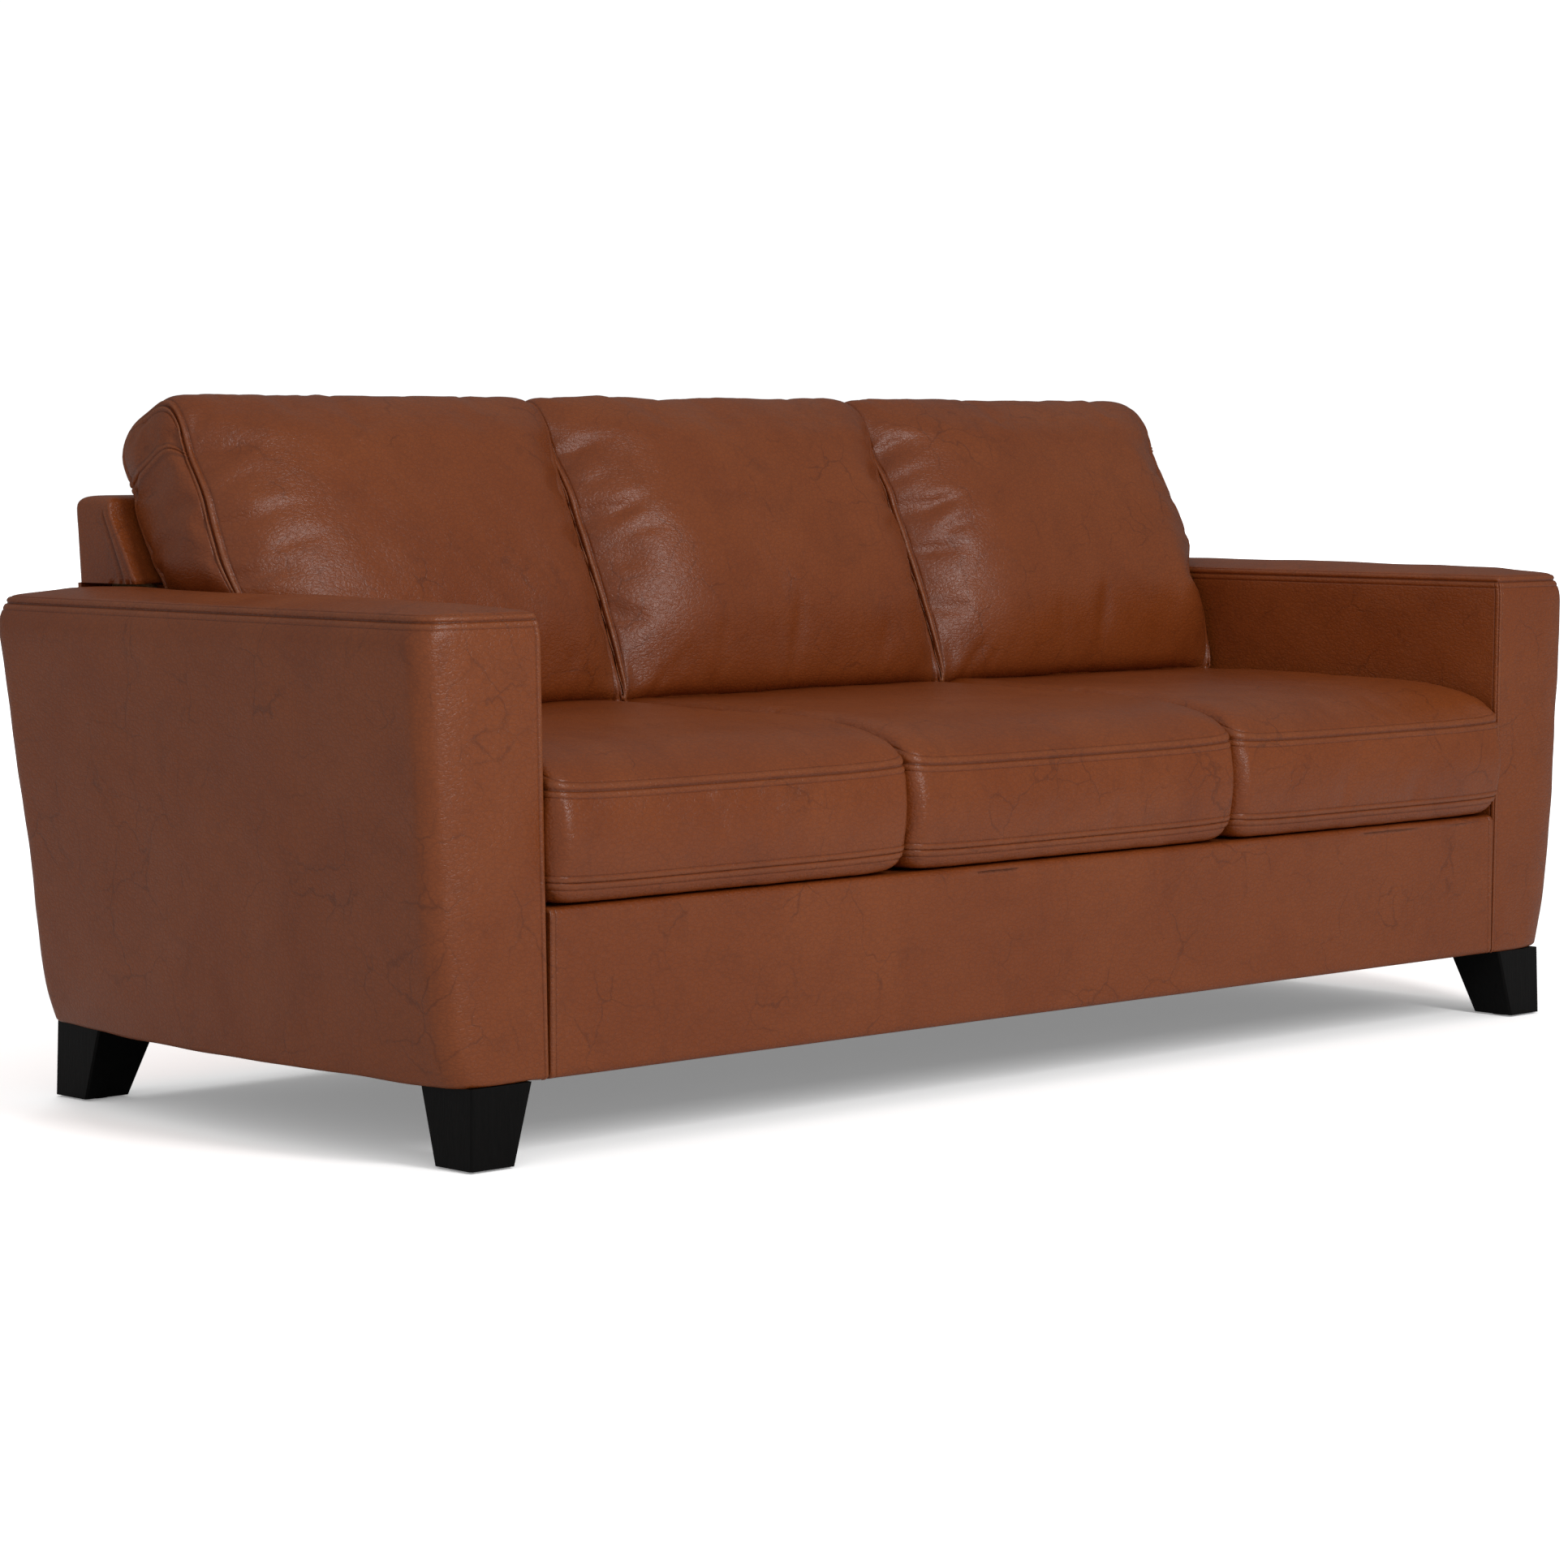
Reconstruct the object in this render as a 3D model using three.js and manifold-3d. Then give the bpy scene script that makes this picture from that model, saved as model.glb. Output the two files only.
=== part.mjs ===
// A three-seat leather sofa on four tapered wooden legs, in millimetres.
// +Z is up, the sofa faces -Y, and left means -X, the left of a person who faces the sofa.
// The origin is on the floor, under the middle of the sofa.
import * as THREE from 'three';
import { mergeVertices } from 'three/addons/utils/BufferGeometryUtils.js';
import Module from 'manifold-3d';

const wasm = await Module();
wasm.setup();

// Driving dimensions --------------------------------------------------------

const GAP = 0.5;                // air between pieces that are fixed together
const BODY_BOTTOM = 97;         // underside of the upholstery
const SEAM_HEIGHT = 624;        // seam between an arm's sides and its top
const FRONT_FACE = -421;        // front face of the arms and of the front rail
const BACK_TOP = 756.5;         // top of the fixed back

const LEG_SPAN = 1000;          // middle of the sofa to the outer face of a foot
const LEG_FRONT = -420;         // front face of a front foot
const LEG_BACK = 399;           // back face of a back foot
const LEG_FOOT = 66;            // square of a leg at the floor
const LEG_HEAD = 92;            // square of a leg at the top
const LEG_SPLAY = 2;            // how far the foot stands outside the head
const LEG_CHAMFER = 2.5;
const GLIDE_RADIUS = 22;
const GLIDE_THICKNESS = 2.2;
const BOLT_RADIUS = 4;
const BOLT_INSET = 62;          // outer face of a foot to the bolt, across the sofa
const BOLT_SETBACK = 68;        // front or back face of a foot to the bolt

const BOARD = 22;               // thickness of the frame's boards
const FRAME_BOTTOM = 99.5;
const RAIL_TOP = 269.5;         // top of the front and back base rails, where the springs sit
const LOW_RAIL_TOP = 209.5;     // top of the end rails and cross rails
const FRAME_FRONT = -400;
const FRAME_BACK = 375;
const CROSS_RAIL_X = 300;
const BLOCK = { top: 200, length: 59, width: 57 };

const ARM_INNER_LOW = 883.5;    // inner face of an arm at the bottom of the body
const ARM_INNER_HIGH = 893.5;   // and at the seam
const ARM_FOOT = 1008;          // outer face of an arm at its lowest corners
const ARM_BOARD_IN = 905;
const ARM_BOARD_OUT = 985;
const ARM_RAIL = { bottom: 601.5, top: 623.5 };
const PAD_FRONT = 20;           // thickness of the padding on the front of an arm
const CORNER_RADIUS = 22;       // round upright edges on the front of the arms
const REAR_RADIUS = 18;         // and on their back
const ARM_CROWN = 21;           // rise of the arm's top above its seam
const ARM_SEAM_INSET = 14;      // how far the seam lies inside the arm's outer face

const BACK_HALF_WIDTH = 930;    // fixed back, above the arms
const COVER = 8;                // outer back: leather over a thin padded board
const BACK_INNER_HALF = 886;    // fixed back, between the arms

const DECK = { bottom: 288, top: 294 };
const LIP_END = -300;           // back edge of the leather lip on the seat deck
const SPRING = { wire: 1.9, swing: 45, bends: 12, crown: 12, front: -388, back: 364 };
const SPRING_PITCH = 170;       // between springs of one seat
const SEAT_CENTRE = 598;        // middle of an outer seat

const SEAT = { bottom: 295, lowSeam: 319, seam: 426, top: 479, front: -434, back: 242 };
const SEAT_FRONT_BULGE = 9.5;
const SEAT_INNER_HALF = 305;    // half width of the middle seat cushion
const SEAT_OUTER = [310, 885];  // sides of an outer seat cushion
const PILLOW_INNER_HALF = 305;
const PILLOW_OUTER = [310, 886];
const PILLOW_BULGE = 38;        // how far a back cushion's face swells forward
const PILLOW_RISE = 8;          // and its top edge upward
const PILLOW_FREE_END = 9;      // swell of an outer back cushion's end above the arm
const PILLOW_SHOULDER = 780;    // height of that swell's widest point

// The back face of the sofa leans out as it rises: [height, y].
const REAR_LINE = [[97, 392], [300, 396], [450, 414], [624, 436], [735.5, 443.5]];
// The front of the fixed back's padding: [y, z].
const INNER_BACK_LINE = [[247, 294.5], [252, 470], [313, 645], [368, 735]];

// Materials -----------------------------------------------------------------

function finish(color, roughness, metalness = 0) {
  return new THREE.MeshStandardMaterial({ color, roughness, metalness });
}

const LEATHER = finish(0x78432c, 0.45);
const LEG_WOOD = finish(0x171515, 0.4);
const FRAME_WOOD = finish(0xc79a66, 0.7);
const STEEL = finish(0x9a9a9c, 0.35, 0.9);
const BLACK_CLOTH = finish(0x1c1b1b, 0.95);
const WEBBING = finish(0xb9a786, 0.9);
const NYLON = finish(0x2a2a2a, 0.6);

// Helpers -------------------------------------------------------------------

const sofa = new THREE.Group();

function signedVolume(position, index) {
  const a = new THREE.Vector3();
  const b = new THREE.Vector3();
  const c = new THREE.Vector3();
  let sum = 0;
  for (let i = 0; i < index.length; i += 3) {
    a.fromBufferAttribute(position, index[i]);
    b.fromBufferAttribute(position, index[i + 1]);
    c.fromBufferAttribute(position, index[i + 2]);
    sum += a.dot(b.cross(c));
  }
  return sum;
}

// Merges shared corners and turns every face outward.
function solid(geometry) {
  geometry.deleteAttribute('normal');
  geometry.deleteAttribute('uv');
  const merged = mergeVertices(geometry, 1e-3);
  const index = Array.from(merged.index.array);
  if (signedVolume(merged.attributes.position, index) < 0) {
    index.reverse();
  }
  merged.setIndex(index);
  merged.computeVertexNormals();
  return merged;
}

function toManifold(geometry) {
  const clean = solid(geometry);
  const vertProperties = new Float32Array(clean.attributes.position.array);
  const triVerts = new Uint32Array(clean.index.array);
  return new wasm.Manifold(new wasm.Mesh({ numProp: 3, vertProperties, triVerts }));
}

function fromManifold(manifold) {
  const mesh = manifold.getMesh();
  const geometry = new THREE.BufferGeometry();
  geometry.setAttribute('position', new THREE.BufferAttribute(mesh.vertProperties.slice(), 3));
  geometry.setIndex(Array.from(mesh.triVerts));
  return geometry;
}

function join(geometries) {
  const [first, ...others] = geometries.map(toManifold);
  return fromManifold(others.reduce((sum, part) => sum.add(part), first));
}

function cut(geometry, tools) {
  const body = toManifold(geometry);
  return fromManifold(tools.map(toManifold).reduce((rest, tool) => rest.subtract(tool), body));
}

function box(x, y, z) {
  const geometry = new THREE.BoxGeometry(x[1] - x[0], y[1] - y[0], z[1] - z[0]);
  return geometry.translate((x[0] + x[1]) / 2, (y[0] + y[1]) / 2, (z[0] + z[1]) / 2);
}

function upright(radius, sides, x, y, z) {
  const geometry = new THREE.CylinderGeometry(radius, radius, z[1] - z[0], sides);
  return geometry.rotateX(Math.PI / 2).translate(x, y, (z[0] + z[1]) / 2);
}

// A side view, given as [y, z] corners, drawn out along X.
function profileAlongX(corners, x0, x1) {
  const shape = new THREE.Shape(corners.map(([y, z]) => new THREE.Vector2(y, z)));
  const geometry = new THREE.ExtrudeGeometry(shape, { depth: x1 - x0, bevelEnabled: false });
  const turn = new THREE.Matrix4().set(0, 0, 1, x0, 1, 0, 0, 0, 0, 1, 0, 0, 0, 0, 0, 1);
  return geometry.applyMatrix4(turn);
}

// A closed skin over rings of equal length; each end is closed from its middle.
function loft(rings) {
  const count = rings[0].length;
  const points = rings.flat();
  const index = [];
  for (let ring = 0; ring < rings.length - 1; ring++) {
    for (let i = 0; i < count; i++) {
      const a = ring * count + i;
      const b = ring * count + (i + 1) % count;
      index.push(a, b, b + count, a, b + count, a + count);
    }
  }
  for (const [ring, flip] of [[0, true], [rings.length - 1, false]]) {
    const middle = points.length;
    const sum = rings[ring].reduce((total, p) => total.add(p), new THREE.Vector3());
    points.push(sum.divideScalar(count));
    for (let i = 0; i < count; i++) {
      const a = ring * count + i;
      const b = ring * count + (i + 1) % count;
      index.push(middle, flip ? b : a, flip ? a : b);
    }
  }
  const geometry = new THREE.BufferGeometry().setFromPoints(points);
  geometry.setIndex(index);
  return geometry;
}

function mirrored(geometry) {
  return geometry.clone().scale(-1, 1, 1);
}

function addPiece(name, geometry, material) {
  const mesh = new THREE.Mesh(solid(geometry), material);
  mesh.name = name;
  sofa.add(mesh);
}

// The piece is drawn for the right side (+X) and mirrored for the left.
function addPair(name, geometry, material) {
  addPiece(`${name}_right`, geometry.clone(), material);
  addPiece(`${name}_left`, mirrored(geometry), material);
}

function along(line, value) {
  const last = line.length - 2;
  let i = 0;
  while (i < last && value > line[i + 1][0]) {
    i += 1;
  }
  const [[a, fa], [b, fb]] = [line[i], line[i + 1]];
  return fa + (fb - fa) * (value - a) / (b - a);
}

function rearAt(z) {
  return along(REAR_LINE, z);
}

function innerBackAt(z) {
  return along(INNER_BACK_LINE.map(([y, height]) => [height, y]), z);
}

// Legs ----------------------------------------------------------------------

function legSection(size, cornerX, cornerY, inward, z) {
  const c = LEG_CHAMFER;
  const square = [[0, c], [0, size - c], [c, size], [size - c, size],
    [size, size - c], [size, c], [size - c, 0], [c, 0]];
  return square.map(([x, y]) => new THREE.Vector3(cornerX - x, cornerY + inward * y, z));
}

function addLegs() {
  const legTop = BODY_BOTTOM - GAP;
  const legBottom = GLIDE_THICKNESS + 0.3;
  for (const [place, face, inward] of [['front', LEG_FRONT, 1], ['back', LEG_BACK, -1]]) {
    const boltX = LEG_SPAN - BOLT_INSET;
    const boltY = face + inward * BOLT_SETBACK;
    const blank = loft([
      legSection(LEG_FOOT, LEG_SPAN, face, inward, legBottom),
      legSection(LEG_HEAD, LEG_SPAN - LEG_SPLAY, face + inward * LEG_SPLAY, inward, legTop),
    ]);
    const hole = upright(BOLT_RADIUS + 0.4, 10, boltX, boltY, [44, legTop + 5]);
    addPair(`leg_${place}`, cut(blank, [hole]), LEG_WOOD);

    const middle = LEG_FOOT / 2;
    const glide = upright(GLIDE_RADIUS, 20, LEG_SPAN - middle, face + inward * middle, [0, GLIDE_THICKNESS]);
    addPair(`glide_${place}`, glide, NYLON);

    const nutBottom = BLOCK.top + 0.3;
    const profile = [[0, 47], [BOLT_RADIUS, 47], [BOLT_RADIUS, nutBottom], [8, nutBottom],
      [8, nutBottom + 6], [BOLT_RADIUS, nutBottom + 6], [BOLT_RADIUS, nutBottom + 12], [0, nutBottom + 12]];
    const bolt = new THREE.LatheGeometry(profile.map(([r, z]) => new THREE.Vector2(r, z)), 10);
    addPair(`leg_bolt_${place}`, bolt.rotateX(Math.PI / 2).translate(boltX, boltY, 0), STEEL);

    const blockStart = place === 'front' ? FRAME_FRONT + 25.5 : FRAME_BACK - 25.5 - BLOCK.length;
    const block = box([ARM_BOARD_IN + GAP, ARM_BOARD_IN + BLOCK.width],
      [blockStart, blockStart + BLOCK.length], [FRAME_BOTTOM, BLOCK.top]);
    const throughHole = upright(BOLT_RADIUS + 0.4, 10, boltX, boltY, [80, 220]);
    addPair(`corner_block_${place}`, cut(block, [throughHole]), FRAME_WOOD);
  }
}

// Base frame ----------------------------------------------------------------

function addBase() {
  const inside = [FRAME_FRONT + 25.5, FRAME_BACK - 25.5];
  const railHalf = ARM_BOARD_IN - GAP;
  const front = box([-railHalf, railHalf], [FRAME_FRONT, FRAME_FRONT + 25], [FRAME_BOTTOM, RAIL_TOP]);
  addPiece('base_front_rail', front, FRAME_WOOD);
  const back = box([-railHalf, railHalf], [FRAME_BACK - BOARD, FRAME_BACK], [FRAME_BOTTOM, RAIL_TOP]);
  addPiece('base_back_rail', back, FRAME_WOOD);

  const low = [FRAME_BOTTOM, LOW_RAIL_TOP];
  addPair('base_end_rail', box([ARM_BOARD_OUT - BOARD, ARM_BOARD_OUT], inside, low), FRAME_WOOD);
  const crossY = [inside[0], FRAME_BACK - BOARD - GAP];
  const crossX = [CROSS_RAIL_X - BOARD / 2, CROSS_RAIL_X + BOARD / 2];
  addPair('base_cross_rail', box(crossX, crossY, low), FRAME_WOOD);

  const cloth = box([-984, 984], [FRAME_FRONT + 1, FRAME_BACK + 8], [BODY_BOTTOM + GAP, BODY_BOTTOM + 2]);
  const boltHoles = [];
  for (const x of [-1, 1]) {
    for (const y of [LEG_FRONT + BOLT_SETBACK, LEG_BACK - BOLT_SETBACK]) {
      boltHoles.push(upright(BOLT_RADIUS + 1, 10, x * (LEG_SPAN - BOLT_INSET), y, [90, 110]));
    }
  }
  addPiece('dust_cover', cut(cloth, boltHoles), BLACK_CLOTH);
}

// Arms ----------------------------------------------------------------------

function armInnerAt(z) {
  const rise = (z - BODY_BOTTOM) / (SEAM_HEIGHT - BODY_BOTTOM);
  return ARM_INNER_LOW + (ARM_INNER_HIGH - ARM_INNER_LOW) * rise;
}

// The arm's outer face swells outward as it rises, and its lower edge bows out at the middle.
function armOuterAt(y, z) {
  const rise = (z - BODY_BOTTOM) / (SEAM_HEIGHT - BODY_BOTTOM);
  const fromMiddle = (y + 10) / 415;
  const swell = 26 * (1 - Math.exp(-rise / 0.12)) + 34 * rise;
  const bow = 35 * Math.exp(-rise / 0.25) * (1 - fromMiddle * fromMiddle);
  return ARM_FOOT + swell + bow;
}

// Each level is [height, inset of the outer face, inset of the other edges].
const ARM_LEVELS = [[97, 6, 6], [103, 0, 0], [125, 0, 0], [155, 0, 0], [200, 0, 0], [270, 0, 0],
  [380, 0, 0], [500, 0, 0], [590, 0, 0], [610, 5, 1], [623.5, ARM_SEAM_INSET, 4]];

function addArmFrame() {
  const boards = [ARM_BOARD_IN, ARM_BOARD_OUT];
  const postTop = ARM_RAIL.bottom - GAP;
  const front = box(boards, [FRAME_FRONT, FRAME_FRONT + 25], [FRAME_BOTTOM, postTop]);
  addPair('arm_front_post', front, FRAME_WOOD);
  const back = box(boards, [FRAME_BACK - 25, FRAME_BACK], [FRAME_BOTTOM, postTop]);
  addPair('arm_back_post', back, FRAME_WOOD);
  const rail = box(boards, [FRAME_FRONT, FRAME_BACK], [ARM_RAIL.bottom, ARM_RAIL.top]);
  addPair('arm_top_rail', rail, FRAME_WOOD);
}

function addArmPads() {
  const seam = FRONT_FACE + PAD_FRONT;
  const frontRings = ARM_LEVELS.map(([z, outerInset, inset]) => {
    const inner = armInnerAt(z) + inset / 2;
    const outer = armOuterAt(seam, z) - outerInset;
    const face = FRONT_FACE + inset;
    const plan = [[inner, seam], [inner, face + 6], [inner + 6, face]];
    for (const degrees of [0, 30, 55, 78]) {
      const angle = degrees * Math.PI / 180;
      const radius = CORNER_RADIUS - inset;
      plan.push([outer - radius + radius * Math.sin(angle), face + radius * (1 - Math.cos(angle))]);
    }
    plan.push([outer, seam]);
    return plan.map(([x, y]) => new THREE.Vector3(x, y, z));
  });
  addPair('arm_front_pad', loft(frontRings), LEATHER);

  const inside = ARM_BOARD_OUT + 1;
  const outerRings = ARM_LEVELS.map(([z, outerInset, inset]) => {
    const back = rearAt(z) - inset;
    const plan = [[inside, back], [inside, seam + GAP]];
    for (const y of [seam + GAP, -300, -160, -10, 140, 270, 350]) {
      plan.push([armOuterAt(y, z) - outerInset, y]);
    }
    const outer = armOuterAt(back, z) - outerInset;
    for (const degrees of [0, 30, 60, 85]) {
      const angle = degrees * Math.PI / 180;
      plan.push([outer - REAR_RADIUS * (1 - Math.cos(angle)), back - REAR_RADIUS * (1 - Math.sin(angle))]);
    }
    return plan.map(([x, y]) => new THREE.Vector3(x, y, z));
  });
  addPair('arm_outer_pad', loft(outerRings), LEATHER);

  const innerRings = [RAIL_TOP + 1, SEAM_HEIGHT - GAP].map((z) => {
    const inner = armInnerAt(z);
    const outer = ARM_BOARD_IN - GAP;
    const plan = [[inner, seam + GAP], [outer, seam + GAP], [outer, FRAME_BACK], [inner, FRAME_BACK]];
    return plan.map(([x, y]) => new THREE.Vector3(x, y, z));
  });
  addPair('arm_inner_pad', loft(innerRings), LEATHER);
  addPair('arm_top_pad', loft(armTopRings()), LEATHER);
}

function armTopRings() {
  const levels = [[0, 0], [6, 0], [12, 6], [17, 18], [ARM_CROWN, 46]];
  const back = rearAt(SEAM_HEIGHT) - COVER - GAP;
  return levels.map(([rise, inset]) => {
    const face = FRONT_FACE + 4 + inset;
    const rear = back - inset;
    const inner = ARM_INNER_HIGH + inset;
    const plan = [[inner, rear], [inner, face + 10], [inner + 10, face]];
    const outerFront = armOuterAt(face, SEAM_HEIGHT) - ARM_SEAM_INSET - 1 - inset;
    const radius = CORNER_RADIUS;
    plan.push([outerFront - radius, face], [outerFront - radius * 0.3, face + radius * 0.3]);
    for (const y of [face + radius, -200, 0, 200, rear - 12]) {
      plan.push([armOuterAt(y, SEAM_HEIGHT) - ARM_SEAM_INSET - 1 - inset, y]);
    }
    plan.push([armOuterAt(rear, SEAM_HEIGHT) - ARM_SEAM_INSET - 13 - inset, rear]);
    return plan.map(([x, y]) => new THREE.Vector3(x, y, SEAM_HEIGHT + rise));
  });
}

// Fixed back ----------------------------------------------------------------

function addBackFrame() {
  const post = [[272.5, 270.5], [276, 463], [337, 637], [382, 711.5]];
  for (const z of [711.5, 624, 450, 300, 270.5]) {
    post.push([rearAt(z) - COVER - 1, z]);
  }
  const notched = (x0, x1) => cut(profileAlongX(post, x0, x1),
    [box([x0 - 1, x1 + 1], [360, 420], [299, 381])]);
  addPair('back_end_post', notched(BACK_INNER_HALF - 32, BACK_INNER_HALF - 2), FRAME_WOOD);
  addPair('back_mid_post', notched(CROSS_RAIL_X - 15, CROSS_RAIL_X + 15), FRAME_WOOD);

  const half = BACK_INNER_HALF - 2;
  addPiece('back_bottom_rail', box([-half, half], [361, 383], [300, 380]), FRAME_WOOD);
  addPiece('back_top_rail', box([-half, half], [392, 433], [712, 735]), FRAME_WOOD);
}

function addBackCovers() {
  const strip = (low, high) => {
    const heights = [low, ...REAR_LINE.map(([z]) => z).filter((z) => z > low && z < high), high];
    const outer = heights.map((z) => [rearAt(z), z]);
    const inner = heights.map((z) => [rearAt(z) - COVER, z]).reverse();
    return [...outer, ...inner];
  };
  const lower = profileAlongX(strip(BODY_BOTTOM, SEAM_HEIGHT), -ARM_BOARD_OUT, ARM_BOARD_OUT);
  const upper = profileAlongX(strip(SEAM_HEIGHT - 1, 735.5), -BACK_HALF_WIDTH, BACK_HALF_WIDTH);
  addPiece('back_outer_cover', join([lower, upper]), LEATHER);

  const padBack = [[391, 735], [333, 638], [273, 466], [268, 294.5]];
  const pad = profileAlongX([...INNER_BACK_LINE, ...padBack], -BACK_INNER_HALF, BACK_INNER_HALF);
  addPiece('back_inner_pad', pad, LEATHER);

  const cap = [[368, 736], [443, 736], [443.5, 742], [439, 751], [429, BACK_TOP],
    [385, BACK_TOP], [376, 751], [370, 742]];
  addPiece('back_top_pad', profileAlongX(cap, -BACK_HALF_WIDTH, BACK_HALF_WIDTH), LEATHER);

  const low = SEAM_HEIGHT + ARM_CROWN + 1.5;
  const end = [[innerBackAt(low), low], [rearAt(low) - COVER - GAP, low],
    [rearAt(735) - COVER - GAP, 735.5], [innerBackAt(735), 735.5]];
  addPair('back_end_pad', profileAlongX(end, BACK_INNER_HALF + 1, BACK_HALF_WIDTH), LEATHER);
}

// Straps woven across the back behind the padding; they grip each other, so they are one piece.
function addBackWebbing() {
  const half = BACK_INNER_HALF - 4;
  const straps = [-60, 0, 60].map((s) => box([-half, half], [-0.8, 0.8], [s - 20, s + 20]));
  for (const x of [-760, -600, -440, -160, 0, 160, 440, 600, 760]) {
    straps.push(box([x - 20, x + 20], [-0.8, 0.8], [-84, 84]));
  }
  const lean = Math.atan2(60.5, 173);
  const lattice = join(straps).rotateX(-lean).translate(0, 304.4, 550);
  addPiece('back_webbing', lattice, WEBBING);
}

// Seat deck and springs -----------------------------------------------------

// A round wire along points, closed at both ends; the wire never runs straight up.
function wire(points, radius, sides) {
  const up = new THREE.Vector3(0, 0, 1);
  const rings = points.map((point, i) => {
    const before = points[Math.max(i - 1, 0)];
    const after = points[Math.min(i + 1, points.length - 1)];
    const ahead = after.clone().sub(before).normalize();
    const side = ahead.clone().cross(up).normalize();
    const top = side.clone().cross(ahead);
    return Array.from({ length: sides }, (_, k) => {
      const angle = 2 * Math.PI * k / sides;
      const offset = side.clone().multiplyScalar(radius * Math.cos(angle));
      return point.clone().add(offset).addScaledVector(top, radius * Math.sin(angle));
    });
  });
  return loft(rings);
}

function springHeight(y) {
  const share = (y - SPRING.front) / (SPRING.back - SPRING.front);
  return RAIL_TOP + 0.4 + SPRING.wire + SPRING.crown * Math.sin(Math.PI * share);
}

// One sinuous spring: flat S bends from the front rail to the back rail.
function sinuousSpring(x) {
  const pitch = (SPRING.back - SPRING.front) / SPRING.bends;
  const points = [];
  for (let bend = 0; bend < SPRING.bends; bend++) {
    const side = bend % 2 ? -1 : 1;
    for (const [share, across] of [[0.08, 0.55], [0.25, 0.93], [0.5, 1], [0.75, 0.93], [0.92, 0.55]]) {
      const y = SPRING.front + (bend + share) * pitch;
      points.push(new THREE.Vector3(x + side * across * SPRING.swing, y, springHeight(y)));
    }
  }
  return wire(points, SPRING.wire, 5);
}

function addSprings() {
  const pitch = (SPRING.back - SPRING.front) / SPRING.bends;
  for (const [place, centre] of [['left', -SEAT_CENTRE], ['centre', 0], ['right', SEAT_CENTRE]]) {
    const pieces = [-1, 0, 1].map((i) => sinuousSpring(centre + i * SPRING_PITCH));
    for (const bend of [3.5, 7.5]) {
      const y = SPRING.front + bend * pitch;
      const reach = SPRING_PITCH + SPRING.swing + 4;
      const ends = [-reach, reach].map((x) => new THREE.Vector3(centre + x, y, springHeight(y)));
      pieces.push(wire(ends, 1.5, 5));
    }
    addPiece(`seat_springs_${place}`, join(pieces), STEEL);
  }
}

function addDeck() {
  const half = ARM_INNER_LOW - 1;
  const deck = box([-half, half], [LIP_END + GAP, 270], [DECK.bottom, DECK.top]);
  addPiece('seat_deck', deck, BLACK_CLOTH);

  const back = FRAME_FRONT - GAP;
  const face = FRONT_FACE - 1.5;
  const border = [[back, BODY_BOTTOM], [face + 7, BODY_BOTTOM], [face + 2, BODY_BOTTOM + 2.5],
    [face, BODY_BOTTOM + 8], [face, DECK.top - 10], [face + 2, DECK.top - 4], [face + 8, DECK.top],
    [LIP_END, DECK.top], [LIP_END, DECK.bottom + GAP], [back, DECK.bottom + GAP]];
  addPiece('front_rail_cover', profileAlongX(border, -half, half), LEATHER);
}

// Loose cushions ------------------------------------------------------------

function roundedRectangle(x, y, radius, z) {
  const ring = [];
  const corners = [[x[1], y[0], -90], [x[1], y[1], 0], [x[0], y[1], 90], [x[0], y[0], 180]];
  for (const [cornerX, cornerY, start] of corners) {
    const centreX = cornerX + (cornerX === x[1] ? -radius : radius);
    const centreY = cornerY + (cornerY === y[1] ? -radius : radius);
    for (const step of [0, 30, 60, 90]) {
      const angle = (start + step) * Math.PI / 180;
      ring.push(new THREE.Vector3(centreX + radius * Math.cos(angle), centreY + radius * Math.sin(angle), z));
    }
  }
  return ring;
}

// Each level is [height, inset from the seam's outline, extra swell of the front].
function seatCushion(x0, x1) {
  const middle = (SEAT.lowSeam + SEAT.seam) / 2;
  const levels = [[SEAT.bottom, 26, 0], [SEAT.bottom + 5, 12, 0], [SEAT.bottom + 12, 4, 0],
    [SEAT.lowSeam, 0, 0], [middle, 0, SEAT_FRONT_BULGE], [SEAT.seam, 0, 0], [SEAT.seam + 11, 3, 0],
    [SEAT.seam + 21, 12, 0], [SEAT.seam + 31, 30, 0], [SEAT.seam + 41, 70, 0],
    [SEAT.seam + 49, 125, 0], [SEAT.top, 190, 0]];
  return loft(levels.map(([z, inset, swell]) => roundedRectangle(
    [x0 + inset, x1 - inset], [SEAT.front + inset - swell, SEAT.back - inset], 20 + inset / 3, z)));
}

// The outline of a back cushion's end panel, [y, z], from the bottom front corner round the top.
const PILLOW_FRONT = [[122, 481], [106, 492], [120, 530], [146, 595], [176, 660], [212, 730],
  [248, 795], [282, 850], [304, 873]];
const PILLOW_REAR = [[332, 876], [362, 864], [388, 832], [385, 795], [368, 763], [360, 732],
  [308, 645], [249, 481]];

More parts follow.
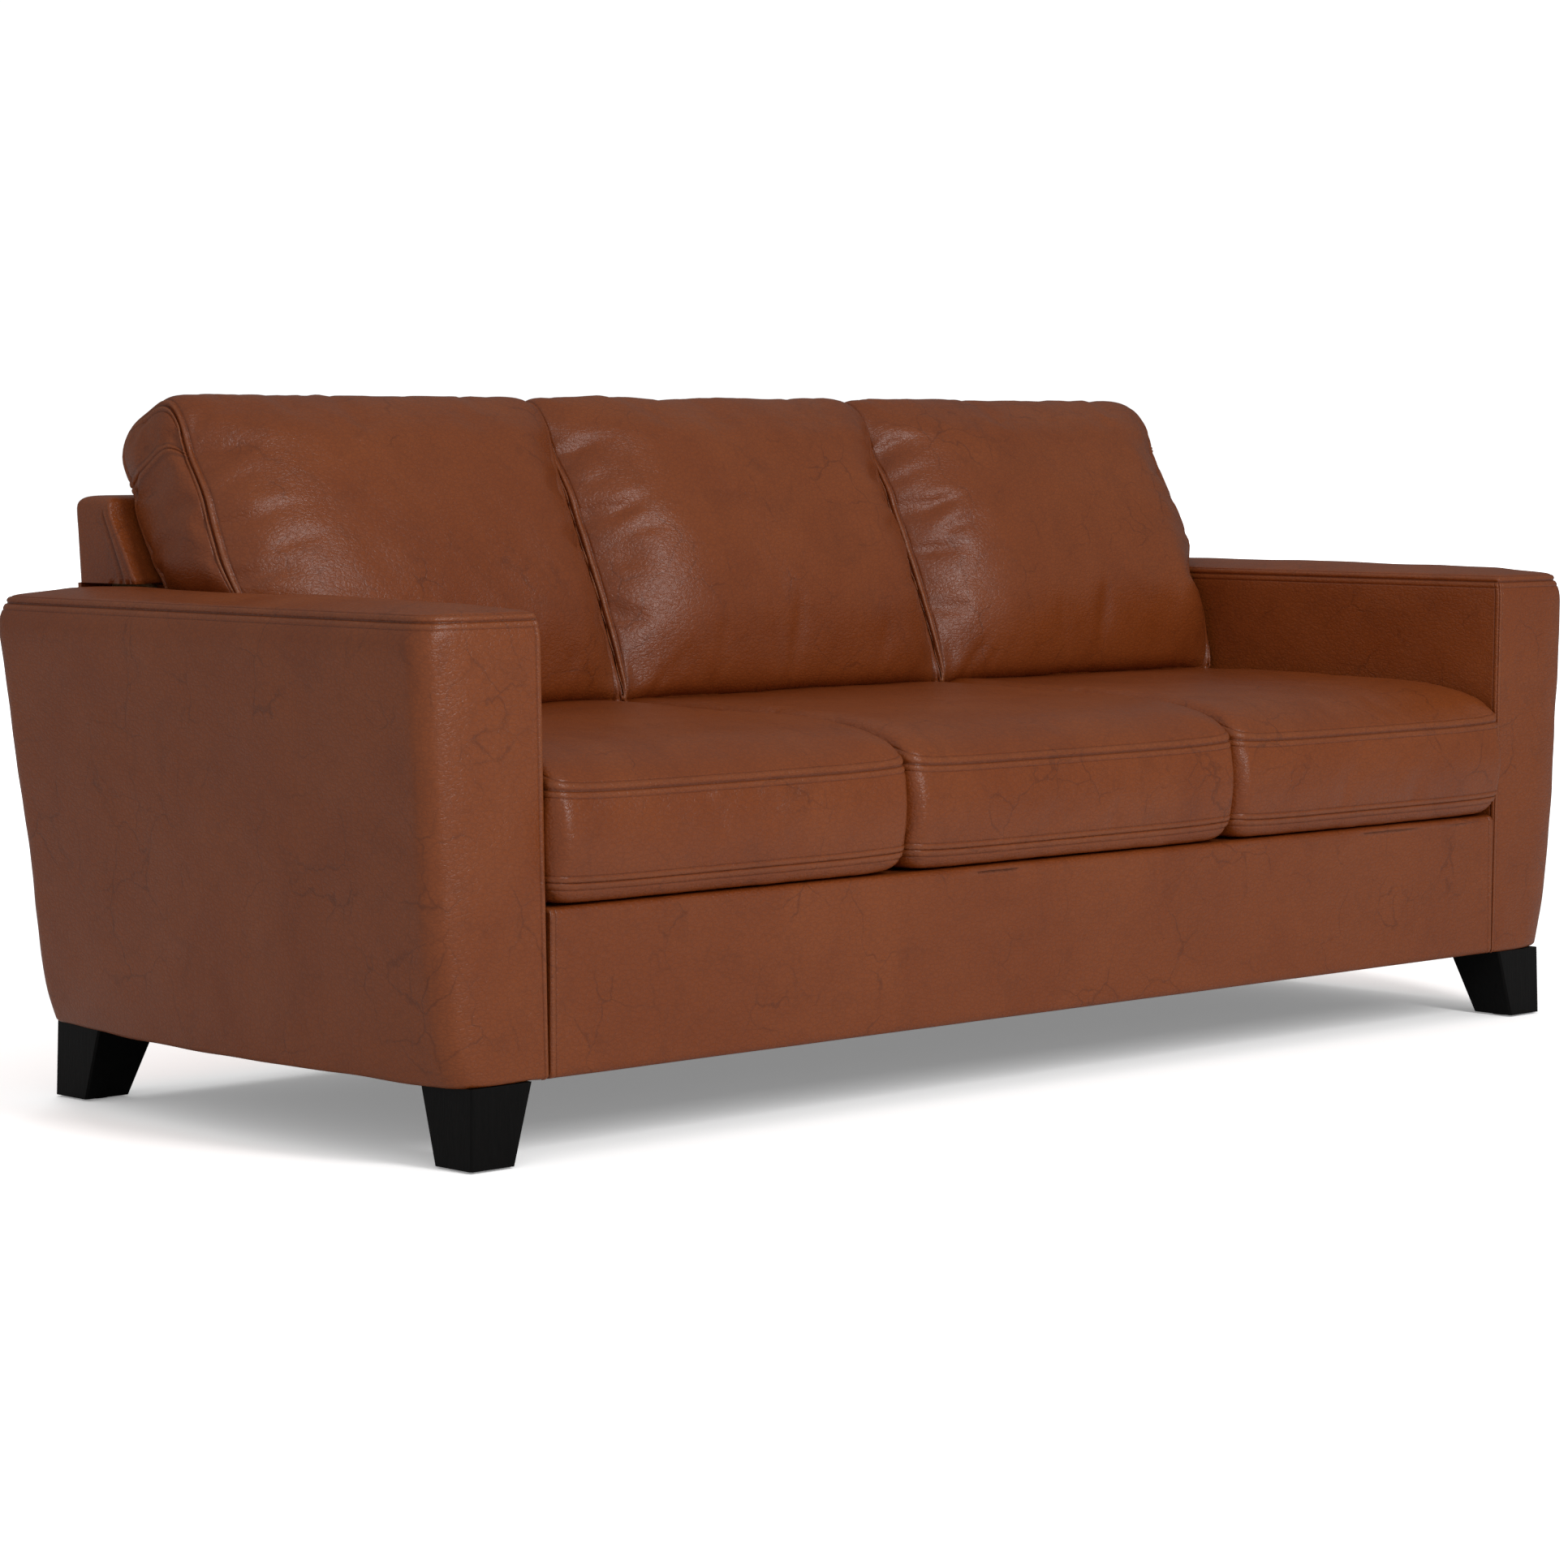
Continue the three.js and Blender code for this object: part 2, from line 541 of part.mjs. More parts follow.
// freeEnd is how far the +X end swells out where no arm holds it.
function backCushion(x0, x1, freeEnd) {
  const half = (x1 - x0) / 2;
  const middle = (x0 + x1) / 2;
  // Each station is [share of the half width, share of the swell, inset of the outline].
  const stations = [[1, 0, 7], [0.965, 0.2, 0], [0.85, 0.75, 0], [0.55, 0.95, 0], [0, 1, 0]];
  const order = [...stations, ...stations.slice(0, -1).reverse().map(([u, b, i]) => [-u, b, i])];
  const centreY = 235;
  const centreZ = 670;
  const rings = order.map(([share, swell, inset]) => {
    const front = PILLOW_FRONT.map(([y, z]) => {
      const height = Math.max(0, (z - 492) / (873 - 492));
      const rise = swell * PILLOW_RISE * height * height;
      return [y - swell * PILLOW_BULGE * Math.sin(Math.PI * Math.min(height, 1)), z + rise];
    });
    const rear = PILLOW_REAR.map(([y, z]) => [y, z + (z > 800 ? swell * PILLOW_RISE : 0)]);
    return [...front, ...rear].map(([y, z]) => {
      const towardY = inset * (centreY - y) / 200;
      const towardZ = inset * (centreZ - z) / 200;
      const above = THREE.MathUtils.clamp((z - SEAM_HEIGHT) / (PILLOW_SHOULDER - SEAM_HEIGHT), 0, 1);
      const puff = share > 0.9 ? freeEnd * Math.sin(Math.PI / 2 * above) : 0;
      return new THREE.Vector3(middle + share * half + puff, y + towardY, z + towardZ);
    });
  });
  return loft(rings);
}

function addCushions() {
  addPair('seat_cushion', seatCushion(...SEAT_OUTER), LEATHER);
  addPiece('seat_cushion_centre', seatCushion(-SEAT_INNER_HALF, SEAT_INNER_HALF), LEATHER);
  addPair('back_cushion', backCushion(...PILLOW_OUTER, PILLOW_FREE_END), LEATHER);
  addPiece('back_cushion_centre', backCushion(-PILLOW_INNER_HALF, PILLOW_INNER_HALF, 0), LEATHER);
}

addLegs();
addBase();
addArmFrame();
addArmPads();
addBackFrame();
addBackCovers();
addBackWebbing();
addSprings();
addDeck();
addCushions();

export default sofa;
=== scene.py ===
import math

import bpy
import numpy as np
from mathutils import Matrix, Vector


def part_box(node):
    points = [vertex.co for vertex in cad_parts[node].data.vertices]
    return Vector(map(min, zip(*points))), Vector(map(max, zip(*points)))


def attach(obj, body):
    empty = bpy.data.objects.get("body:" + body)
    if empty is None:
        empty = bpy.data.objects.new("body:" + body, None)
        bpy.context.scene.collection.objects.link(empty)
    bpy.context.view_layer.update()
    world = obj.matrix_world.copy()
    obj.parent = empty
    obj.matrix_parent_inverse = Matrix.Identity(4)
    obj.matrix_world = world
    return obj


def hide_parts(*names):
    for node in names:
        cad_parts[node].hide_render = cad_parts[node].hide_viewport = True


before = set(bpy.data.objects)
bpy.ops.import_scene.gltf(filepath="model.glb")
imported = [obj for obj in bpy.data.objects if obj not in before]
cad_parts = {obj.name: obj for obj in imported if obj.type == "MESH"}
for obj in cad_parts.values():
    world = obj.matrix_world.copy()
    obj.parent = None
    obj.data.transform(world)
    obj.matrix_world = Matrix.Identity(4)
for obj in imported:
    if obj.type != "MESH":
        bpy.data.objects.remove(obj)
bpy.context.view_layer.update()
MM = 0.001
TINY = 1e-9  # what counts as no distance
FAR = 1.0  # a distance at which a seam no longer shows

# --- Sizes taken from the frame ---


def span(node, axis):
    low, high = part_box(node)
    return low[axis], high[axis]


BODY_BOTTOM = span("arm_outer_pad_right", 2)[0]
ARM_SEAM = span("arm_outer_pad_right", 2)[1] + 0.5 * MM
ARM_CROWN = span("arm_top_pad_right", 2)[1] - ARM_SEAM
ARM_FRONT = span("arm_front_pad_right", 1)[0]
ARM_INNER_LOW = span("arm_front_pad_right", 0)[0]
ARM_INNER_HIGH = span("arm_top_pad_right", 0)[0]
INNER_PAD_LOW = span("arm_inner_pad_right", 2)[0]
RAIL_FACE = span("front_rail_cover", 1)[0]
RAIL_LIP = span("front_rail_cover", 1)[1]
RAIL_TOP = span("front_rail_cover", 2)[1]
RAIL_HALF = span("front_rail_cover", 0)[1]
BACK_HALF = span("back_top_pad", 0)[1]
BACK_TOP = span("back_top_pad", 2)[1]
BACK_SHOULDER = span("back_top_pad", 2)[0]
END_PAD_LOW = span("back_end_pad_right", 2)[0]
INNER_BACK_HALF = span("back_inner_pad", 0)[1]
INNER_BACK_LOW = span("back_inner_pad", 2)[0]

# Lines that the CAD's covers follow, in metres: [height, y].
REAR_LINE = [[0.097, 0.392], [0.3, 0.396], [0.45, 0.414], [0.624, 0.436], [0.7355, 0.4435]]
INNER_BACK_LINE = [[0.2945, 0.247], [0.47, 0.252], [0.645, 0.313], [0.735, 0.368]]
ARM_FOOT = 1.008  # an arm's outer face at its lowest corners
COVER = 8 * MM  # thickness of the outer back

# Seams: a groove with a row of stitches sunk on each side of it. SEAM_STEPS are the distances from a
# seam, in mm, at which a mesh has a row of vertices, so that they show.
STITCH_OFFSET = 8 * MM
SEAM_STEPS = [0, 0.5, 1.1, 1.9, 3.2, 4.8, 6.2, 7.0, 7.5, 8.0, 8.5, 9.0, 9.8, 11.2, 13.5, 17, 22, 29]

# The cushions' cloth simulation
SIM_FRAMES = 20
SIM_PITCH = 11 * MM  # of the mesh that is blown up
SEAT_SIM_PITCH = 1.4 * SIM_PITCH

# How a rectangle's grid is shaped into a cushion's top
CORNER_SPREAD = 0.33  # how fast the round corners' radii grow inward
STEEP_REACH = 1.15  # how far in a steep edge reaches, against the length it takes up

# --- Numbers ---


def smooth_along(knots, at):
    """The smooth curve through [place, value] knots, at each place asked for."""
    x, y = np.array(knots, float).T
    slope = np.gradient(y, x)
    i = np.clip(np.searchsorted(x, at) - 1, 0, len(x) - 2)
    step = x[i + 1] - x[i]
    t = np.clip((at - x[i]) / step, 0, 1)
    value = (2 * t**3 - 3 * t**2 + 1) * y[i] + (3 * t**2 - 2 * t**3) * y[i + 1]
    return value + step * ((t**3 - 2 * t**2 + t) * slope[i] + (t**3 - t**2) * slope[i + 1])


def bell(distance, width):
    return np.exp(-((distance / width) ** 2))


def nearing(distance, reach):
    """0 at a distance of 0, and nearer and nearer to 1 beyond the reach."""
    return 1 - np.exp(-distance / reach)


def fade(value, start, end):
    """0 before start, 1 after end, and a smooth step between them."""
    t = np.clip((value - start) / (end - start), 0, 1)
    return t * t * (3 - 2 * t)


def ripples(points, wavelength, seed, count=7):
    """A smooth uneven field of about -1 to 1 over points: waves in seeded directions."""
    rng = np.random.default_rng(seed)
    total = np.zeros(len(points))
    for _ in range(count):
        direction = rng.normal(size=3)
        direction /= np.linalg.norm(direction)
        pitch = wavelength * rng.uniform(0.7, 1.5)
        total += np.sin(points @ direction * (2 * math.pi / pitch) + rng.uniform(0, 2 * math.pi))
    return total / math.sqrt(count)


def even_stations(low, high, pitch):
    return np.linspace(low, high, max(3, round((high - low) / pitch) + 1))


def stations(low, high, pitch, seam_low=True):
    """Places from low to high: close together at a seamed end, and about pitch apart elsewhere."""
    steps = np.array(SEAM_STEPS) * MM
    head = low + steps if seam_low else np.array([low])
    tail = high - steps[::-1]
    count = max(2, round((tail[0] - head[-1]) / pitch) + 1)
    return np.concatenate([head, np.linspace(head[-1], tail[0], count)[1:-1], tail])


# --- Meshes ---


def on_skin(size):
    """Which vertices of a block of cells lie on its outside."""
    skin = np.zeros(size, bool)
    for axis, index in enumerate(np.indices(size)):
        skin |= (index == 0) | (index == size[axis] - 1)
    return skin


def lattice(us, vs, ws, bottom=True):
    """The skin of a block of cells. Gives each vertex's u, v and w, and the quads, facing out."""
    axes = [np.asarray(us), np.asarray(vs), np.asarray(ws)]
    size = [len(a) for a in axes]
    index = np.indices(size)
    skin = on_skin(size)
    number = np.full(size, -1)
    number[skin] = np.arange(skin.sum())
    places = np.stack([axes[k][index[k][skin]] for k in range(3)], 1)
    quads = []
    for axis in range(3):
        for end in (0, size[axis] - 1):
            if axis == 2 and end == 0 and not bottom:
                continue
            grid = number.take(end, axis=axis)
            ring = [grid[:-1, :-1], grid[1:, :-1], grid[1:, 1:], grid[:-1, 1:]]
            if (axis == 1) == (end > 0):
                ring.reverse()
            quads.append(np.stack([c.ravel() for c in ring], 1))
    return places, np.concatenate(quads)


def drop_unused(points, quads, seam):
    """Leaves out the vertices that no quad uses."""
    used = np.zeros(len(points), bool)
    used[quads.ravel()] = True
    renumber = np.cumsum(used) - 1
    return points[used], renumber[quads], seam[used]


def normals_of(points, quads):
    a, b, c, d = (points[quads[:, k]] for k in range(4))
    face = np.cross(c - a, d - b)
    total = np.zeros_like(points)
    for k in range(4):
        np.add.at(total, quads[:, k], face)
    return total / np.maximum(np.linalg.norm(total, axis=1, keepdims=True), 1e-12)


def add_object(name, data):
    added = bpy.data.objects.new(name, data)
    bpy.context.scene.collection.objects.link(added)
    return added


def add_leather(name, points, quads, seam):
    """A leather piece. seam is what its material reads at each point, for the seams' colours, which
    include painted shade and a partly painted highlight.
    """
    points, quads, seam = drop_unused(points, quads, seam)
    mesh = bpy.data.meshes.new(name)
    mesh.vertices.add(len(points))
    mesh.vertices.foreach_set("co", points.astype(np.float32).ravel())
    mesh.loops.add(quads.size)
    mesh.loops.foreach_set("vertex_index", quads.astype(np.int32).ravel())
    mesh.polygons.add(len(quads))
    mesh.polygons.foreach_set("loop_start", np.arange(0, quads.size, 4, dtype=np.int32))
    mesh.update(calc_edges=True)
    mesh.validate()
    mesh.shade_smooth()
    mesh.attributes.new("seam", "FLOAT", "POINT").data.foreach_set("value", seam.astype(np.float32))
    mesh.materials.append(LEATHER)
    return add_object(name, mesh)


def round_corners(x, y, half_x, half_y, radii):
    """Moves a rectangle's grid onto rings with round corners. radii are [-x-y, +x-y, -x+y, +x+y].
    Also gives how far inside the edge each point lies."""
    inset = np.clip(np.minimum(half_x - abs(x), half_y - abs(y)), 0, None)
    radius = np.choose((x > 0) + 2 * (y > 0), radii) + CORNER_SPREAD * inset
    radius = np.minimum(radius, 0.999 * np.minimum(half_x - inset, half_y - inset))
    radius = np.maximum(radius, 1e-6)
    start_x = half_x - inset - radius
    start_y = half_y - inset - radius
    s = (abs(x) - start_x) / radius
    t = (abs(y) - start_y) / radius
    corner = (s > 0) & (t > 0)
    s = np.clip(s, 0, 1)
    t = np.clip(t, 0, 1)
    round_x = np.where(corner, start_x + radius * s * np.sqrt(1 - t * t / 2), abs(x))
    round_y = np.where(corner, start_y + radius * t * np.sqrt(1 - s * s / 2), abs(y))
    return np.sign(x) * round_x, np.sign(y) * round_y, inset


def steepen(x, y, half_x, half_y, lost):
    """Moves a top's rings outward, so that a steep edge keeps the leather's own length up its slope."""
    inset = np.minimum(half_x - abs(x), half_y - abs(y))
    start = inset - lost * (1 - np.exp(-inset / (STEEP_REACH * lost)))
    return (x * (half_x - start) / np.maximum(half_x - inset, 1e-6),
            y * (half_y - start) / np.maximum(half_y - inset, 1e-6))


def inflate(points, quads, held, pressure, excess, most, stiffness):
    """How far each point moves when Blender's cloth is blown up. held is how firmly each point stays
    in place, 0 to 1. excess is the spare leather, as a share. No point moves further than most."""
    mesh = bpy.data.meshes.new("inflated")
    mesh.from_pydata(points.tolist(), [], quads.tolist())
    piece = add_object("inflated", mesh)
    scene = bpy.context.scene
    group = piece.vertex_groups.new(name="held")
    for level in np.unique(np.round(held, 2)):
        group.add(np.flatnonzero(np.round(held, 2) == level).tolist(), float(level), "REPLACE")
    cloth = piece.modifiers.new("cloth", "CLOTH").settings
    cloth.quality = 5
    cloth.mass = 0.3
    cloth.tension_stiffness = 20
    cloth.compression_stiffness = 12
    cloth.shear_stiffness = 6
    cloth.bending_stiffness = stiffness
    cloth.use_pressure = True
    cloth.uniform_pressure_force = pressure
    cloth.vertex_group_mass = "held"
    cloth.pin_stiffness = 1
    cloth.shrink_min = -excess
    cloth.effector_weights.gravity = 0
    for moment in range(1, SIM_FRAMES + 1):
        scene.frame_set(moment)
    moved = np.empty(points.size)
    result = piece.evaluated_get(bpy.context.evaluated_depsgraph_get()).data
    result.vertices.foreach_get("co", moved)
    moved = moved.reshape(-1, 3) - points
    scene.frame_set(1)
    bpy.data.objects.remove(piece)
    bpy.data.meshes.remove(mesh)
    length = np.linalg.norm(moved, axis=1, keepdims=True)
    return moved * most * np.tanh(length / most) / np.maximum(length, 1e-9)


def carried(axes, values, places):
    """Smoothly carries values on an even lattice's vertices to other places on the same skin."""
    size = [len(a) for a in axes]
    grid = np.zeros((*size, 3))
    grid[on_skin(size)] = values
    cells, weights = [], []
    for axis in range(3):
        at = (places[:, axis] - axes[axis][0]) / (axes[axis][1] - axes[axis][0])
        cell = np.clip(np.floor(at + 1e-7).astype(int), 0, size[axis] - 2)
        t = np.clip(at - cell, 0, 1)
        t = np.where(t < 1e-6, 0, np.where(t > 1 - 1e-6, 1, t))
        cells.append(cell)
        weights.append([((2 - t) * t - 1) * t / 2, ((3 * t - 5) * t**2 + 2) / 2,
                        ((4 - 3 * t) * t + 1) * t / 2, (t - 1) * t**2 / 2])
    total = np.zeros((len(places), 3))
    for steps in np.ndindex(4, 4, 4):
        weight = weights[0][steps[0]] * weights[1][steps[1]] * weights[2][steps[2]]
        at = [np.clip(cells[k] + steps[k] - 1, 0, size[k] - 1) for k in range(3)]
        total += weight[:, None] * grid[at[0], at[1], at[2]]
    return total


def flat_seam(d):
    """Height of the leather at distance d from a plain seam: groove, swell, stitch line."""
    d = abs(d)
    swell = 0.8 * np.where(d < STITCH_OFFSET, np.sin(np.pi * d / STITCH_OFFSET), 0)
    groove = 1.3 * bell(d, 0.8 * MM)
    stitches = 0.7 * bell(d - STITCH_OFFSET, 0.8 * MM)
    return (swell - groove - stitches) * MM


def ribbed_seam(d):
    """The back cushions' seam: two narrow ribs with a deep groove between them."""
    d = abs(d)
    rib = 2.6 * bell(d - 3.6 * MM, 2.3 * MM)
    groove = 2.2 * bell(d, 1.1 * MM)
    stitches = bell(d - STITCH_OFFSET, 1.1 * MM)
    return (rib - groove - stitches) * MM


def seam_shade(d, wear_and_highlight=0.1):
    """How dark a seam's lines are, up to 1, and how pale the welt between them is, as a negative value;
    that paleness is partly wear and partly a painted highlight.
    """
    d = abs(d)
    groove = 0.65 * bell(d, 0.65 * MM)
    stitches = 0.42 * bell(d - STITCH_OFFSET, 0.55 * MM)
    return np.maximum(groove, stitches) - wear_and_highlight * bell(d - 3.8 * MM, 1.8 * MM)


# --- Materials ---


class Tree:
    """A node tree, with a short call for adding a node to it."""

    def __init__(self, tree):
        self.tree = tree

    def add(self, kind, inputs=None, **settings):
        node = self.tree.nodes.new(kind)
        for key, value in settings.items():
            setattr(node, key, value)
        for key, value in (inputs or {}).items():
            self.feed(node.inputs[key], value)
        return node

    def feed(self, socket, value):
        if isinstance(value, bpy.types.NodeSocket):
            self.tree.links.new(value, socket)
        else:
            socket.default_value = value


class Nodes(Tree):
    """Short calls for making a material's nodes."""

    def __init__(self, name, color, roughness, metallic=0.0, specular=0.5):
        self.material = bpy.data.materials.new(name)
        self.material.use_nodes = True
        super().__init__(self.material.node_tree)
        self.shader = self.tree.nodes["Principled BSDF"]
        self.set(Base_Color=(*color, 1), Roughness=roughness, Metallic=metallic)
        self.set(Specular_IOR_Level=specular)
        self.place = self.add("ShaderNodeTexCoord").outputs["Object"]

    def math(self, operation, a, b=0.0, clamp=False):
        node = self.add("ShaderNodeMath", {0: a, 1: b}, operation=operation, use_clamp=clamp)
        return node.outputs[0]

    def noise(self, scale, detail=3.0, roughness=0.55, place=None, distortion=0.0):
        inputs = {"Vector": place or self.place, "Scale": scale, "Detail": detail,
                  "Roughness": roughness, "Distortion": distortion}
        return self.add("ShaderNodeTexNoise", inputs).outputs["Fac"]

    def cell_edges(self, scale, place):
        """The distance from the nearest edge between two of the texture's cells."""
        inputs = {"Vector": place, "Scale": scale}
        return self.add("ShaderNodeTexVoronoi", inputs, feature="DISTANCE_TO_EDGE").outputs["Distance"]

    def stretched(self, scale):
        return self.add("ShaderNodeMapping", {"Vector": self.place, "Scale": scale}).outputs["Vector"]

    def stirred(self, place, scale, detail, reach):
        """A place moved about by noise."""
        noise = self.add("ShaderNodeTexNoise", {"Vector": self.place, "Scale": scale, "Detail": detail})
        move = self.add("ShaderNodeVectorMath", {0: noise.outputs["Color"], "Scale": reach},
                        operation="SCALE")
        moved = self.add("ShaderNodeVectorMath", {0: place, 1: move.outputs[0]}, operation="ADD")
        return moved.outputs[0]

    def ramp(self, value, low, high, to_low=0.0, to_high=1.0):
        inputs = {"Value": value, "From Min": low, "From Max": high, "To Min": to_low, "To Max": to_high}
        return self.add("ShaderNodeMapRange", inputs).outputs["Result"]

    def blend(self, share, a, b):
        node = self.add("ShaderNodeMix", data_type="RGBA")
        self.feed(node.inputs["Factor"], share)
        for socket, value in ((node.inputs["A"], a), (node.inputs["B"], b)):
            self.feed(socket, value if isinstance(value, bpy.types.NodeSocket) else (*value, 1))
        return node.outputs["Result"]

    def bump(self, height, distance, strength=1.0, normal=None):
        inputs = {"Height": height, "Distance": distance, "Strength": strength}
        if normal:
            inputs["Normal"] = normal
        return self.add("ShaderNodeBump", inputs).outputs["Normal"]

    def set(self, **inputs):
        for name, value in inputs.items():
            self.feed(self.shader.inputs[name.replace("_", " ")], value)


LEATHER_COLOR = (0.306, 0.067, 0.0110)
LEATHER_DARK = (0.135, 0.029, 0.0065)
LEATHER_PALE = (0.350, 0.083, 0.0160)
# The pale welt beside seam lines: partly wear, partly a painted highlight.
LEATHER_WEAR_AND_HIGHLIGHT = (0.520, 0.235, 0.1150)
# The seam lines' colour, which also paints shade beside the back cushions' seams.
SEAM_LINE_AND_SHADE_DARK = (0.060, 0.014, 0.0050)


def leather_material():
    n = Nodes("saddle_leather", LEATHER_COLOR, roughness=0.40, specular=0.56)
    cloudy = n.ramp(n.noise(4.5, 5, 0.62, distortion=0.8), 0.36, 0.66)
    color = n.blend(cloudy, LEATHER_COLOR, LEATHER_PALE)
    blotch = n.ramp(n.noise(15.0, 5, 0.7, distortion=1.4), 0.52, 0.78, 0, 0.30)
    color = n.blend(blotch, color, LEATHER_DARK)
    # Fine dark veins, which come and go over the hide.
    vein = n.ramp(n.cell_edges(12.0, n.stirred(n.place, 14.0, 4.0, 0.07)), 0.0, 0.022, 1, 0)
    veins = n.math("MULTIPLY", vein, n.ramp(n.noise(9.0, 4, 0.6), 0.47, 0.60))
    color = n.blend(n.math("MULTIPLY", veins, 0.50), color, LEATHER_DARK)
    # The seams' own colours, from the field that each mesh carries: dark seam lines, a pale welt that is
    # partly wear and partly a painted highlight, and painted shade beside the back cushions' seams.
    seam = n.add("ShaderNodeAttribute", attribute_name="seam").outputs["Fac"]
    # Pale welts: partly wear, partly a painted highlight.
    wear_and_highlight = n.math("MAXIMUM", n.math("MULTIPLY", seam, -1.0), 0.0, clamp=True)
    color = n.blend(wear_and_highlight, color, LEATHER_WEAR_AND_HIGHLIGHT)
    # Dark seam lines, and painted shade beside the back cushions' seams.
    dark = n.math("MAXIMUM", n.math("MULTIPLY", seam, 0.8), 0.0, clamp=True)
    color = n.blend(dark, color, SEAM_LINE_AND_SHADE_DARK)
    # Pebble grain, a little wider than it is high, with finer cells inside it.
    wide = n.stretched((0.6, 0.6, 1.0))
    grain_place = n.stirred(wide, 120.0, 3.0, 0.006)
    coarse = n.ramp(n.cell_edges(190.0, grain_place), 0.0, 0.24)
    fine = n.ramp(n.cell_edges(520.0, grain_place), 0.0, 0.25)
    grain = n.math("ADD", coarse, n.math("MULTIPLY", fine, 0.4))
    color = n.blend(n.ramp(coarse, 0.0, 0.7, 0.22, 0), color, LEATHER_DARK)
    normal = n.bump(n.noise(90.0, 4, 0.7, place=wide), 1.5 * MM, 0.4)
    normal = n.bump(grain, 0.42 * MM, 0.55, normal)
    normal = n.bump(veins, -0.2 * MM, 0.5, normal)
    roughness = n.ramp(n.noise(20.0, 4, 0.6), 0.3, 0.7, 0.30, 0.38)
    n.set(Base_Color=color, Normal=normal, Roughness=roughness)
    return n.material


def wood_material(name, light, dark, roughness, scale, stretch, bump):
    n = Nodes(name, light, roughness, specular=0.12)
    place = n.stretched(stretch)
    rings = n.noise(scale, 5, 0.6, place=place, distortion=1.4)
    pores = n.noise(scale * 7, 3, 0.7, place=place)
    both = n.math("ADD", n.math("MULTIPLY", rings, 0.75), n.math("MULTIPLY", pores, 0.25))
    streak = n.ramp(both, 0.3, 0.7)
    n.set(Base_Color=n.blend(streak, light, dark), Normal=n.bump(streak, bump, 0.5))
    n.set(Roughness=n.ramp(pores, 0.3, 0.7, roughness - 0.06, roughness + 0.08))
    return n.material


def cloth_material(name, light, dark, threads, bump):
    n = Nodes(name, light, roughness=0.9, specular=0.15)
    parts = n.add("ShaderNodeSeparateXYZ", {0: n.place})
    waves = [n.math("SINE", n.math("MULTIPLY", part, threads)) for part in parts.outputs]
    weave = n.math("MULTIPLY", n.math("ADD", waves[0], waves[2]), waves[1])
    fuzz = n.noise(threads / 9, 4, 0.7)
    shade = n.ramp(n.math("ADD", n.math("MULTIPLY", weave, 0.3), fuzz), 0.1, 0.9)
    n.set(Base_Color=n.blend(shade, dark, light), Normal=n.bump(shade, bump, 0.6))
    return n.material


def steel_material():
    n = Nodes("spring_steel", (0.42, 0.42, 0.43), roughness=0.34, metallic=1.0)
    drawn = n.noise(260.0, 3, 0.6)
    stain = n.ramp(n.noise(30.0, 4, 0.6), 0.45, 0.75)
    n.set(Base_Color=n.blend(stain, (0.45, 0.45, 0.46), (0.27, 0.25, 0.23)))
    n.set(Roughness=n.ramp(drawn, 0.3, 0.7, 0.26, 0.44), Normal=n.bump(drawn, 0.1 * MM, 0.4))
    return n.material


def nylon_material():
    n = Nodes("glide_nylon", (0.022, 0.022, 0.023), roughness=0.55)
    scuff = n.noise(180.0, 4, 0.7)
    n.set(Base_Color=n.blend(n.ramp(scuff, 0.5, 0.8), (0.022, 0.022, 0.023), (0.06, 0.06, 0.06)))
    n.set(Normal=n.bump(scuff, 0.15 * MM, 0.5))
    return n.material


LEATHER = leather_material()
LEG_WOOD = wood_material(
    "black_leg_wood", light=(0.0075, 0.0070, 0.0068), dark=(0.0040, 0.0038, 0.0037), roughness=0.36,
    scale=30.0, stretch=(6.0, 6.0, 0.6), bump=0.25 * MM)
FRAME_WOOD = wood_material(
    "frame_pine", light=(0.62, 0.40, 0.20), dark=(0.44, 0.24, 0.10), roughness=0.62,
    scale=9.0, stretch=(0.5, 3.0, 3.0), bump=0.3 * MM)
STEEL = steel_material()
NYLON = nylon_material()
BLACK_CLOTH = cloth_material(
    "black_lining", light=(0.020, 0.019, 0.019), dark=(0.008, 0.008, 0.008),
    threads=2600.0, bump=0.3 * MM)
WEBBING = cloth_material(
    "jute_webbing", light=(0.42, 0.33, 0.20), dark=(0.25, 0.18, 0.10),
    threads=1500.0, bump=0.6 * MM)

# The CAD nodes that show as they are: [label] = material, and what the nodes' names start with. The
# label is not used; each node's own slots take the material.
LEGS = ("leg_front", "leg_back")
CAD_FINISHES = {
    "leg_wood": (LEG_WOOD, LEGS),
    "frame_wood": (FRAME_WOOD, (
        "base_", "corner_block", "arm_front_post", "arm_back_post", "arm_top_rail",
        "back_top_rail", "back_bottom_rail", "back_end_post", "back_mid_post")),
    "steel": (STEEL, ("seat_springs", "leg_bolt")),
    "black_cloth": (BLACK_CLOTH, ("dust_cover", "seat_deck")),
    "webbing": (WEBBING, ("back_webbing",)),
    "nylon": (NYLON, ("glide_",)),
}


def finish_cad_nodes():
    for slot_name, (material, starts) in CAD_FINISHES.items():
        for name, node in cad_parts.items():
            if name.startswith(starts):
                for material_slot in node.material_slots:
                    material_slot.material = material


def ease_leg_edges():
    for name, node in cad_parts.items():
        if name.startswith(LEGS):
            edges = node.modifiers.new("eased_edges", "BEVEL")
            edges.width = 0.9 * MM
            edges.segments = 2
            edges.limit_method = "ANGLE"
            edges.angle_limit = math.radians(35)


# --- Arms ---

